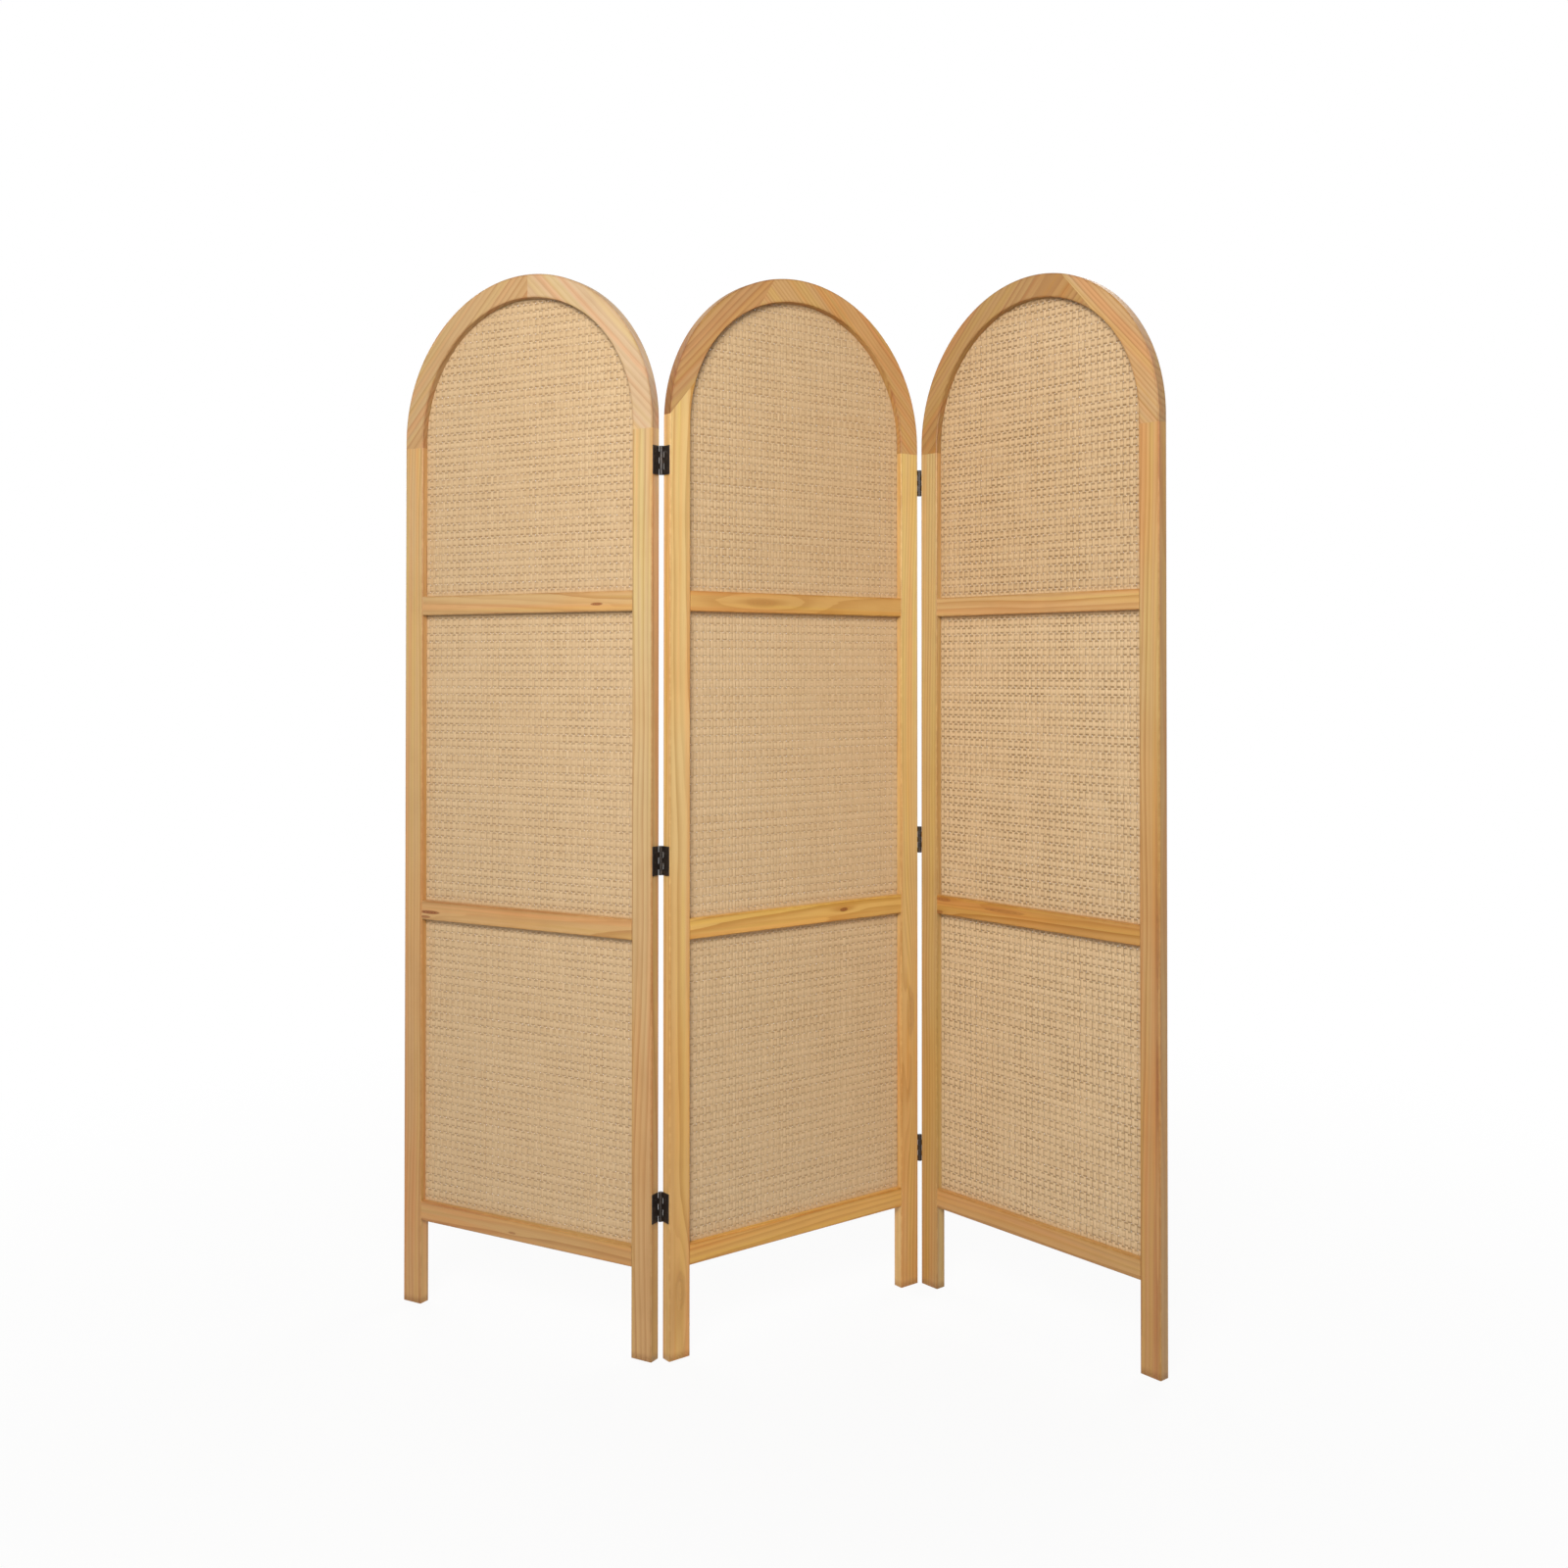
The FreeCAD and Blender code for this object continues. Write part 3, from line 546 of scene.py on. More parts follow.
class Tone(Enum):
    """Spring and summer wood of the boards, under a clear lacquer."""

    CREAM = (shade(199, 170, 135), shade(177, 142, 102))
    STRAW = (shade(213, 174, 112), shade(188, 143, 81))
    PEACH = (shade(196, 160, 109), shade(174, 130, 79))
    HONEY = (shade(195, 154, 101), shade(171, 124, 71))
    WHEAT = (shade(188, 154, 109), shade(164, 123, 78))
    FAWN = (shade(189, 155, 100), shade(165, 124, 70))
    TAN = (shade(189, 148, 94), shade(166, 118, 66))
    BUTTER = (shade(216, 173, 97), shade(184, 130, 58))
    GOLD = (shade(211, 163, 87), shade(180, 122, 51))
    BRASS = (shade(202, 159, 94), shade(172, 120, 56))
    ORANGE = (shade(189, 142, 78), shade(161, 107, 45))
    AMBER = (shade(182, 142, 94), shade(155, 108, 65))
    RUSSET = (shade(167, 129, 78), shade(140, 96, 50))
    BEECH = (shade(204, 164, 118), shade(186, 140, 96))


@dataclass(frozen=True)
class Board:
    """How one piece of pine was cut from its log.

    Attributes:
        tone: Colour of the wood.
        pith: The log's centre from the board's axis, across and behind, in metres.
        ring: Width of a year's growth in metres.
        wave: How far the rings wander, in metres.
        strength: How strongly the summer wood shows.
        lean: Degrees that the grain runs out of the board.
        sawn: How far the sides of a curved cut darken and dull, as open end grain and as painted
            shade, from 0 to 1.
        top_light_paint: How strongly painted light from above shows on the wood's faces, darker
            and warmer at the foot and paler towards the top, from 0 to 1.
        knots: Knots that show.
    """

    tone: Tone = Tone.HONEY
    pith: tuple[float, float] = (0.05, 0.09)
    ring: float = 0.0055
    wave: float = 0.03
    strength: float = 0.8
    lean: float = 0.6
    sawn: float = 0.5
    top_light_paint: float = 0.0
    knots: tuple[Knot, ...] = ()


@dataclass(frozen=True)
class Cut:
    """Where a piece lies and how it was sawn.

    Attributes:
        place: The piece's own frame in the row frame: its middle, z along the grain.
        bend: For an arch, its centre along the frame's x axis, in metres; otherwise 0.
        half_width: Half the width of its face, in metres.
        half_depth: Half its thickness, in metres.
    """

    place: Matrix
    bend: float = 0.0
    half_width: float = 0.019
    half_depth: float = 0.0095


@dataclass(frozen=True)
class Lacquer:
    """Clear satin lacquer on pine.

    Attributes:
        coat: Weight of the clear coat.
        coat_roughness: Roughness of the clear coat.
        shine: How much the wood below it reflects, where 0.5 is usual.
        relief: Depth of the grain's bump in metres.
        handling: How much wear and dust shows.
        foot_light_cast: What the faces of a board with painted light from above are multiplied by
            at its foot.
        top_light_cast: The same, paler, from the height where the painted light stops changing.
        top_light_height: That height, in metres.
        end_grain_and_shade_cast: What an arch's sides are multiplied by, for open end grain and
            painted shade.
        corner_lacquer_and_shade_cast: What the wood is multiplied by at its corners, where lacquer
            gathers and painted shade darkens the edges.
    """

    coat: float = 0.12
    coat_roughness: float = 0.35
    shine: float = 0.35
    relief: float = 0.00025
    handling: float = 0.5
    foot_light_cast: tuple[float, ...] = (0.95, 0.87, 0.82, 1.0)
    top_light_cast: tuple[float, ...] = (1.03, 1.16, 1.33, 1.0)
    top_light_height: float = 1.25
    end_grain_and_shade_cast: tuple[float, ...] = (0.54, 0.40, 0.25, 1.0)
    corner_lacquer_and_shade_cast: tuple[float, ...] = (0.80, 0.71, 0.58, 1.0)

    def dress(self, name: str, board: Board, seed: float, cut: Cut,
              effects: Effects) -> bpy.types.Material:
        """Make the material of one piece of wood.

        Args:
            name: Name of the material.
            board: How the piece was cut from its log.
            seed: Number that sets it apart from the other boards.
            cut: Where the piece lies, and its shape.
            effects: The shared shader groups.

        Returns:
            The material.
        """
        material, w, shader = new_material(name)
        coords = w.add("ShaderNodeTexCoord").outputs["Object"]

        def read_in(own: Matrix) -> bpy.types.NodeSocket:
            """Object coordinates read in another frame."""
            return w.add("ShaderNodeMapping", {
                "Vector": coords, "Location": own.translation,
                "Rotation": own.to_euler("XYZ")}, vector_type="TEXTURE").outputs[0]

        square = read_in(cut.place)
        along_grain = read_in(cut.place @ Matrix.Rotation(math.radians(board.lean), 4, "X")
                              @ Matrix.Rotation(math.radians(board.lean * 0.7), 4, "Y"))
        swell: Any = 0.0
        cores = []
        for knot in board.knots:
            core = w.group(effects.knot, {
                "Vector": square, "Centre": (knot.across, 0.0, knot.along),
                "Radius": knot.radius, "Stretch": knot.stretch, "Swell": swell})
            swell = core["Swell"]
            cores.append((core, knot.dark))
        early, late = board.tone.value
        grain = w.group(effects.grain, {
            "Vector": along_grain, "Pith": (*board.pith, 0.0), "Ring Width": board.ring,
            "Wave": board.wave, "Swell": swell, "Seed": seed, "Early": early, "Late": late,
            "Strength": board.strength})
        colour = grain["Color"]
        for core, dark in cores:
            heart = w.tint(core["Rings"], KNOT_RING, KNOT_HEART)
            colour = w.tint(w.math("MULTIPLY", core["Mask"], dark), colour, heart)
        edges = w.group(effects.edges, {
            "Vector": square, "Bend": cut.bend, "Half Width": cut.half_width,
            "Half Depth": cut.half_depth})
        # Painted light from above on the faces: darker and warmer at the foot, paler towards the
        # top.
        if board.top_light_paint:
            rising = w.ramp(w.parts(square)[2], 0.0, self.top_light_height)
            light = w.tint(rising, self.foot_light_cast, self.top_light_cast)
            faces = w.math("MULTIPLY_ADD", edges["Side"], -board.top_light_paint, board.top_light_paint)
            colour = w.tint(faces, colour, w.cast(colour, light))
        roughness = grain["Roughness"]
        if cut.bend:
            # An arch's sides are darker and duller: open end grain, and painted shade on those
            # sides.
            open_grain_and_shade = w.math("MULTIPLY", edges["Cut"], board.sawn)
            colour = w.tint(open_grain_and_shade, colour, w.cast(colour, self.end_grain_and_shade_cast))
            roughness = w.math("MULTIPLY_ADD", open_grain_and_shade, 0.45, roughness)
            w.feed(shader.inputs["Coat Weight"],
                   w.math("MULTIPLY_ADD", open_grain_and_shade, -self.coat, self.coat))
        else:
            shader.inputs["Coat Weight"].default_value = self.coat
        # Darker corners: lacquer that gathers there, and painted shade along the edges.
        colour = w.tint(edges["Corner"], colour, w.cast(colour, self.corner_lacquer_and_shade_cast))
        worn = w.group(effects.handling, {"Vector": coords, "Color": colour,
                                          "Roughness": roughness, "Amount": self.handling})
        bump = w.add("ShaderNodeBump", {"Height": grain["Height"],
                                        "Distance": self.relief, "Strength": 0.6})
        w.fill(shader, {"Base Color": worn["Color"], "Roughness": worn["Roughness"],
                        "Normal": bump.outputs[0]})
        shader.inputs["Specular IOR Level"].default_value = self.shine
        shader.inputs["Coat Roughness"].default_value = self.coat_roughness
        return material


@dataclass(frozen=True)
class CaneFinish:
    """Split cane, left natural.

    Attributes:
        pale: Lightest strands.
        deep: Darkest strands and fibres.
        edge: What the colours are multiplied by at a strand's edges, partly the cane's own darker
            edges and partly painted shade between the bands.
        relief: Depth of the fibres' bump in metres.
    """

    pale: tuple[float, ...] = shade(217, 190, 151)
    deep: tuple[float, ...] = shade(186, 152, 109)
    edge: tuple[float, ...] = (0.62, 0.57, 0.48, 1.0)
    relief: float = 0.0001

    def dress(self, name: str, effects: Effects) -> bpy.types.Material:
        """Make the material, which reads each strand's own frame and tone.

        Args:
            name: Name of the material.
            effects: The shared shader groups.

        Returns:
            The material.
        """
        material, w, shader = new_material(name)
        stored = {label: w.add("ShaderNodeAttribute", attribute_name=label).outputs
                  for label in ("fibre", "tone", "rim", "shade")}
        cane = w.group(effects.cane, {
            "Vector": stored["fibre"]["Vector"], "Tone": stored["tone"]["Fac"],
            "Rim": stored["rim"]["Fac"], "Shade": stored["shade"]["Fac"],
            "Pale": self.pale, "Deep": self.deep, "Edge": self.edge})
        bump = w.add("ShaderNodeBump", {"Height": cane["Height"],
                                        "Distance": self.relief, "Strength": 0.5})
        w.fill(shader, {"Base Color": cane["Color"], "Roughness": cane["Roughness"],
                        "Normal": bump.outputs[0]})
        return material


@dataclass(frozen=True)
class BlackCoat:
    """Black powder coat or black plating on steel.

    Attributes:
        colour: The coat.
        rubbed: Where it is rubbed a little lighter.
        metallic: How metallic it looks.
        roughness: Roughness of the coat.
        spread: How far the roughness varies over it.
        relief: Depth of its orange-peel bump in metres.
    """

    colour: tuple[float, ...] = shade(40, 32, 26)
    rubbed: tuple[float, ...] = shade(74, 60, 48)
    metallic: float = 0.2
    roughness: float = 0.38
    spread: float = 0.22
    relief: float = 0.00006

    def dress(self, name: str) -> bpy.types.Material:
        """Make the material.

        Args:
            name: Name of the material.

        Returns:
            The material.
        """
        material, w, shader = new_material(name)
        coords = w.add("ShaderNodeTexCoord").outputs["Object"]
        peel = w.noise(coords, 1400.0, 2.0, 0.6)
        worn = w.noise(coords, 160.0, 3.0, 0.6)
        colour = w.tint(w.ramp(worn, 0.52, 0.74), self.colour, self.rubbed)
        rough = w.math("MULTIPLY_ADD", worn, self.spread, self.roughness - self.spread / 2)
        bump = w.add("ShaderNodeBump", {"Height": peel, "Distance": self.relief,
                                        "Strength": 0.6})
        w.fill(shader, {"Base Color": colour, "Roughness": rough, "Normal": bump.outputs[0]})
        shader.inputs["Metallic"].default_value = self.metallic
        return material


# ---------------------------------------------------------------- where a panel stands


@dataclass(frozen=True)
class Stance:
    """A panel's own frame: x across from its left edge, y to the back, z up.

    Attributes:
        panel: Which panel.
        turn: Degrees that it is turned about z.
    """

    panel: Panel
    turn: float

    def matrix(self) -> Matrix:
        """Place of the panel's frame in the row frame, found from its CAD stiles.

        Returns:
            The frame's matrix.
        """
        turned = Matrix.Rotation(math.radians(self.turn), 4, "Z")
        back = turned.inverted()
        corner = Vector((math.inf,) * 3)
        for side in ("left", "right"):
            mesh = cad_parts[f"{self.panel.value}_stile_{side}"].data
            for vertex in mesh.vertices:
                corner = Vector(map(min, corner, back @ vertex.co))
        return turned @ Matrix.Translation(corner)


# ---------------------------------------------------------------- frames of pine


@dataclass
class PineFrame:
    """The wooden pieces of one panel, which keep their CAD shapes.

    Attributes:
        stance: Where the panel stands.
        boards: How each piece was cut, by its name without the panel's.
        effects: The shared shader groups.
        lacquer: The finish.
        panel_width: Edge to edge, in metres.
        frame_width: Face of a stile, in metres.
        frame_depth: Thickness of the frame, in metres.
        spring: Height at which the arch begins, in metres.
    """

    stance: Stance
    boards: dict[str, Board]
    effects: Effects
    lacquer: Lacquer = Lacquer()
    panel_width: float = 0.508
    frame_width: float = 0.038
    frame_depth: float = 0.019
    spring: float = 1.446

    def cut(self, piece: str) -> Cut:
        """How a piece was sawn, with its own frame.

        Args:
            piece: The piece's name without the panel's.

        Returns:
            The cut.
        """
        half = self.frame_width / 2
        deep = self.frame_depth / 2
        middle = self.panel_width / 2
        bend, wide, run = 0.0, half, Run.UPRIGHT
        centre = Vector((middle, deep, 0.0))
        if piece.startswith("stile"):
            centre.x = half if piece.endswith("left") else self.panel_width - half
        elif piece.startswith("arch"):
            left = piece.endswith("left")
            run = Run.RISING if left else Run.FALLING
            radius = middle - half
            bend = radius if left else -radius
            reach = radius * math.sqrt(0.5)
            centre.x += -reach if left else reach
            centre.z = self.spring + reach
        elif piece.startswith("rail"):
            run = Run.LEVEL
            low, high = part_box(f"{self.stance.panel.value}_{piece}")
            centre.z = (low[2] + high[2]) / 2
            wide = (high[2] - low[2]) / 2
        else:
            # Beads and dowels have no corners or sides of their own to darken.
            wide = self.panel_width
        lean = Matrix.Rotation(math.radians(run.value), 4, "Y")
        place = self.stance.matrix() @ Matrix.Translation(centre) @ lean
        return Cut(place, bend, wide, deep)

    def dress(self) -> None:
        """Give every wooden CAD node of the panel its own board."""
        panel = self.stance.panel
        for number, (piece, board) in enumerate(self.boards.items()):
            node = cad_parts[f"{panel.value}_{piece}"]
            seed = 10.0 * list(Panel).index(panel) + number + 1.0
            material = self.lacquer.dress(f"pine_{panel.value}_{piece}", board, seed,
                                          self.cut(piece), self.effects)
            wear(node, material)
            log.info("dressed %s in %s pine", node.name, board.tone.name.lower())


def wear(thing: bpy.types.Object, material: bpy.types.Material) -> None:
    """Put one material on the whole of an object."""
    thing.data.materials.clear()
    thing.data.materials.append(material)


# ---------------------------------------------------------------- woven cane


class CaneWeave:
    """Geometry tree of a square plain weave of cane bands, with a straight or round top.

    Each band is a few flat canes laid side by side, so its section has as many ridges.
    The tree's lengths are in metres, in a panel's own frame.

    Attributes:
        w: Wiring of the tree.
        given: Sockets of the tree's inputs.
        tree: The tree.
        top: Height of the webbing's top.
    """

    def __init__(self) -> None:
        """Wire the whole tree."""
        takes = {"Left": "number", "Right": "number", "Foot": "number", "Spring": "number",
                 "Radius": "number", "Depth": "number", "Level Pitch": "number",
                 "Upright Pitch": "number", "Level Width": "number",
                 "Upright Width": "number", "Pairing": "number", "Level Rim": "number",
                 "Upright Rim": "number", "Thickness": "number", "Canes": "number",
                 "Groove": "number", "Crimp": "number", "Bite": "number",
                 "Stray": "number", "Drift": "number", "Stub": "number",
                 "Shade": "number", "Seed": "count", "Material": "material"}
        w, self.given, out = new_tree("cane_weave", "GeometryNodeTree", takes,
                                      {"Geometry": "shape"})
        self.w = w
        self.tree = w.tree
        self.top = w.math("ADD", self.given["Spring"], self.given["Radius"])
        both = w.add("GeometryNodeJoinGeometry")
        for upright in (True, False):
            w.tree.links.new(self.bands(upright), both.inputs[0])
        smooth = w.add("GeometryNodeSetShadeSmooth", {"Geometry": both.outputs[0]}).outputs[0]
        # The thin edges stay sharp, so that the flat faces don't shade as tubes.
        angle = w.add("GeometryNodeInputMeshEdgeAngle").outputs["Unsigned Angle"]
        creased = w.add("GeometryNodeSetShadeSmooth", {
            "Geometry": smooth, "Selection": w.math("GREATER_THAN", angle, 1.0),
            "Shade Smooth": False}, domain="EDGE").outputs[0]
        real = w.add("GeometryNodeRealizeInstances", {"Geometry": creased}).outputs[0]
        w.feed(out.inputs[0], w.add("GeometryNodeSetMaterial", {
            "Geometry": real, "Material": self.given["Material"]}).outputs[0])

    def size(self, name: str, upright: bool) -> bpy.types.NodeSocket:
        """An input that the upright and the level bands each have to themselves."""
        return self.given[("Upright " if upright else "Level ") + name]

    def span(self, upright: bool) -> tuple[bpy.types.NodeSocket, bpy.types.NodeSocket]:
        """Where the upright or the level bands start and end along their length."""
        given = self.given
        return (given["Foot"], self.top) if upright else (given["Left"], given["Right"])

    def shared(self, upright: bool) -> tuple[bpy.types.NodeSocket, bpy.types.NodeSocket]:
        """Share the room between the webbing's edges among the bands that run one way.

        Args:
            upright: Whether they are the upright bands.

        Returns:
            The whole number of bands, and the pitch that fits them.
        """
        near, far = self.span(not upright)
        room = self.w.math("SUBTRACT", far, near)
        count = self.w.math("ROUND", self.w.math("DIVIDE", room, self.size("Pitch", upright)))
        return count, self.w.math("DIVIDE", room, count)

    def bow(self, offset: bpy.types.NodeSocket) -> bpy.types.NodeSocket:
        """Reach of the round top to the side or upwards.

        Args:
            offset: How far from the round's centre, across that way.

        Returns:
            The reach, which is 0 outside the round.
        """
        w, radius = self.w, self.given["Radius"]
        squares = w.math("SUBTRACT", w.math("MULTIPLY", radius, radius),
                         w.math("MULTIPLY", offset, offset))
        return w.math("SQRT", w.math("MAXIMUM", squares, 0.0))

    def section(self, width: bpy.types.NodeSocket) -> bpy.types.NodeSocket:
        """Closed outline of a band: ridges on both faces, meeting in thin edges.

        Args:
            width: The band's width.

        Returns:
            The outline, as a curve.
        """
        w = self.w
        spans = w.math("MULTIPLY", self.given["Canes"], 2.0)
        ring = w.add("GeometryNodeCurvePrimitiveCircle", {
            "Resolution": w.math("MULTIPLY", spans, 2.0)})
        index = w.add("GeometryNodeInputIndex").outputs[0]
        behind = w.math("GREATER_THAN", index, spans)
        folded = w.math("MULTIPLY", behind, w.math("MULTIPLY", w.math(
            "SUBTRACT", index, spans), 2.0))
        order = w.math("SUBTRACT", index, folded)
        share = w.math("SUBTRACT", w.math("DIVIDE", order, spans), 0.5)
        # Grooves aside, a band is 0.85 as thick half way to its edges as in its middle.
        crown = w.math("MULTIPLY_ADD", w.math("MULTIPLY", share, share), -2.4, 1.0)
        crown = w.math("MULTIPLY", crown, w.math("MULTIPLY", self.given["Thickness"], 0.5))
        groove = w.math("SUBTRACT", 1.0, w.math("MODULO", order, 2.0))
        high = w.math("SUBTRACT", crown, w.math("MULTIPLY", groove, self.given["Groove"]))
        inside = w.math("LESS_THAN", w.math("ABSOLUTE", share), 0.499)
        high = w.math("MULTIPLY", w.math("MULTIPLY", high, inside),
                      w.math("MULTIPLY_ADD", behind, -2.0, 1.0))
        spot = w.joined(high, w.math("MULTIPLY", share, width), 0.0)
        return w.add("GeometryNodeSetPosition", {"Geometry": ring.outputs["Curve"],
                                                 "Position": spot}).outputs[0]

    def strings(self, count: bpy.types.NodeSocket, rows: bpy.types.NodeSocket,
                ) -> tuple[bpy.types.NodeSocket, bpy.types.NodeSocket, bpy.types.NodeSocket]:
        """Straight lines of points, one line for each band.

        Args:
            count: How many lines.
            rows: How many points in each.

        Returns:
            The lines, and the numbers of each point's band and of its place in it.
        """
        w = self.w
        size_x = w.math("SUBTRACT", count, 1.0)
        size_y = w.math("SUBTRACT", rows, 1.0)
        grid = w.add("GeometryNodeMeshGrid", {"Size X": size_x, "Size Y": size_y,
                                              "Vertices X": count, "Vertices Y": rows})
        ends = w.add("GeometryNodeInputMeshEdgeVertices")
        step_x = w.parts(w.vector("SUBTRACT", ends.outputs["Position 1"],
                                  ends.outputs["Position 2"]))[0]
        rungs = w.math("GREATER_THAN", w.math("ABSOLUTE", step_x), 0.5)
        lines = w.add("GeometryNodeDeleteGeometry", {"Geometry": grid.outputs["Mesh"],
                                                     "Selection": rungs},
                      domain="EDGE", mode="EDGE_FACE").outputs[0]
        x, y, _ = w.parts(w.add("GeometryNodeInputPosition").outputs[0])
        band = w.math("ROUND", w.math("MULTIPLY_ADD", size_x, 0.5, x))
        return lines, band, w.math("ROUND", w.math("MULTIPLY_ADD", size_y, 0.5, y))

    def strayed(self, band: bpy.types.NodeSocket, pitch: bpy.types.NodeSocket,
                along: bpy.types.NodeSocket, upright: bool) -> bpy.types.NodeSocket:
        """Where a point of a band lies across its run, a little off the ruled line.

        Args:
            band: Number of the band.
            pitch: Pitch of the bands.
            along: How far along the band the point is.
            upright: Whether it is an upright band.

        Returns:
            The place across.
        """
        w, given = self.w, self.given
        stray = w.add("FunctionNodeRandomValue", {"ID": band, "Seed": given["Seed"]},
                      data_type="FLOAT").outputs[1]
        # A band wanders slowly along its length, and not as its neighbours do.
        where = w.joined(w.math("MULTIPLY", along, 11.0), w.math("MULTIPLY", band, 3.7),
                         w.math("MULTIPLY_ADD", given["Seed"], 5.1, 40.0 if upright else 0.0))
        drift = w.math("SUBTRACT", w.noise(where, 1.0, 1.0), 0.5)
        near, _ = self.span(not upright)
        across = w.math("MULTIPLY_ADD", w.math("ADD", band, 0.5), pitch, near)
        across = w.math("MULTIPLY_ADD", w.math("SUBTRACT", stray, 0.5), given["Stray"], across)
        across = w.math("MULTIPLY_ADD", drift, given["Drift"], across)
        if not upright:
            return across
        partner = w.math("MULTIPLY_ADD", w.math("MODULO", band, 2.0), -2.0, 1.0)
        return w.math("MULTIPLY_ADD", partner, given["Pairing"], across)

    def limits(self, across: bpy.types.NodeSocket, upright: bool,
               ) -> tuple[bpy.types.NodeSocket, bpy.types.NodeSocket]:
        """Where a band ends inside the webbing's outline.

        Args:
            across: Where the band lies across its run.
            upright: Whether it is an upright band.

        Returns:
            Its two ends along its run, the lower or left one first.
        """
        w, given = self.w, self.given
        start, end = self.span(upright)
        if upright:
            middle = w.math("MULTIPLY", w.math("ADD", given["Left"], given["Right"]), 0.5)
            return start, w.math("ADD", given["Spring"],
                                 self.bow(w.math("SUBTRACT", across, middle)))
        in_round = w.math("GREATER_THAN", across, given["Spring"])
        arc = self.bow(w.math("SUBTRACT", across, given["Spring"]))
        short = w.math("MULTIPLY", in_round, w.math("SUBTRACT", w.math(
            "MULTIPLY", w.math("SUBTRACT", end, start), 0.5), arc))
        return w.math("ADD", start, short), w.math("SUBTRACT", end, short)

    def paths(self, upright: bool) -> tuple[bpy.types.NodeSocket, bpy.types.NodeSocket]:
        """Middle lines of the bands that run one way, over one band and under the next.

        Args:
            upright: Whether they are the upright bands.

        Returns:
            The curves, and the number of each point's band.
        """
        w, given = self.w, self.given
        start, _ = self.span(upright)
        count, pitch = self.shared(upright)
        crossings, reach = self.shared(not upright)
        lines, band, step = self.strings(count, w.math("MULTIPLY_ADD", crossings, 2.0, 2.0))
        # Each crossing has two points, just past one gap and just before the next.
        order = w.math("SUBTRACT", step, 1.0)
        crossing = w.math("FLOOR", w.math("MULTIPLY", order, 0.5))
        side = w.math("MULTIPLY_ADD", w.math("MULTIPLY_ADD", crossing, -2.0, order), 2.0, -1.0)
        half = w.math("MULTIPLY", reach, 0.5)
        flat = w.math("SUBTRACT", half, given["Bite"])
        raw = w.math("MULTIPLY_ADD", w.math("ADD", crossing, 0.5), reach, start)
        raw = w.math("MULTIPLY_ADD", side, flat, raw)
        across = self.strayed(band, pitch, raw, upright)
        low, high = self.limits(across, upright)
        odd = w.math("MODULO", w.math("ADD", w.math("ADD", crossing, band), 2.0), 2.0)
        swing = w.math("MULTIPLY_ADD", odd, *((2.0, -1.0) if upright else (-2.0, 1.0)))
        depth = w.math("MULTIPLY_ADD", swing, given["Crimp"], given["Depth"])
        run = w.math("MINIMUM", w.math("MAXIMUM", raw, low), high)
        spot = w.joined(across, depth, run) if upright else w.joined(run, depth, across)
        # Points past a band's end go, but for the one that its last piece needs.
        slack = w.math("SUBTRACT", half, w.math("MULTIPLY", given["Bite"], 2.0))
        after = w.math("ADD", raw, w.math("MULTIPLY_ADD", side, w.math(
            "MULTIPLY", slack, -1.0), half))
        before = w.math("SUBTRACT", raw, w.math("MULTIPLY_ADD", side, slack, half))
        first, last = w.math("ADD", low, given["Stub"]), w.math("SUBTRACT", high, given["Stub"])
        gone = w.math("MAXIMUM", w.math("LESS_THAN", after, first),
                      w.math("GREATER_THAN", before, last))
        empty = w.math("LESS_THAN", w.math("SUBTRACT", high, low), half)
        kept = w.add("GeometryNodeCaptureAttribute", {"Geometry": lines})
        for name, value in (("gone", w.math("MAXIMUM", gone, empty)), ("band", band)):
            kept.capture_items.new("FLOAT", name)
            w.feed(kept.inputs[name], value)
        moved = w.add("GeometryNodeSetPosition", {"Geometry": kept.outputs["Geometry"],
                                                  "Position": spot}).outputs[0]
        trimmed = w.add("GeometryNodeDeleteGeometry", {"Geometry": moved,
                                                       "Selection": kept.outputs["gone"]},
                        domain="POINT").outputs[0]
        curve = w.add("GeometryNodeMeshToCurve", {"Mesh": trimmed}).outputs[0]
        curve = w.add("GeometryNodeSetCurveNormal", {"Curve": curve, "Normal": (0.0, -1.0, 0.0)},
                      mode="FREE").outputs[0]
        return curve, kept.outputs["band"]

    def bands(self, upright: bool) -> bpy.types.NodeSocket:
        """The bands that run one way, with what the cane's finish reads stored on them.

        Args:
            upright: Whether they are the upright bands.

        Returns:
            Their mesh.
        """
        w, given = self.w, self.given
        width = self.size("Width", upright)
        curve, band = self.paths(upright)
        outline = w.add("GeometryNodeCaptureAttribute", {"Geometry": self.section(width)})
        outline.capture_items.new("FLOAT", "share")
        w.feed(outline.inputs["share"], w.math("DIVIDE", w.parts(
            w.add("GeometryNodeInputPosition").outputs[0])[1], width))
        share = outline.outputs["share"]
        mesh = w.add("GeometryNodeCurveToMesh", {
            "Curve": curve, "Profile Curve": outline.outputs["Geometry"],
            "Fill Caps": True}).outputs[0]
        cane = w.math("FLOOR", w.math("MULTIPLY", w.math("ADD", share, 0.499), given["Canes"]))
        cane = w.math("MULTIPLY_ADD", band, given["Canes"], cane)
        tone = w.add("FunctionNodeRandomValue", {
            "ID": cane, "Seed": w.math("ADD", given["Seed"], 50.0 if upright else 90.0)},
            data_type="FLOAT").outputs[1]
        x, y, z = w.parts(w.add("GeometryNodeInputPosition").outputs[0])
        fibre = w.joined(x, y, z) if upright else w.joined(z, y, x)
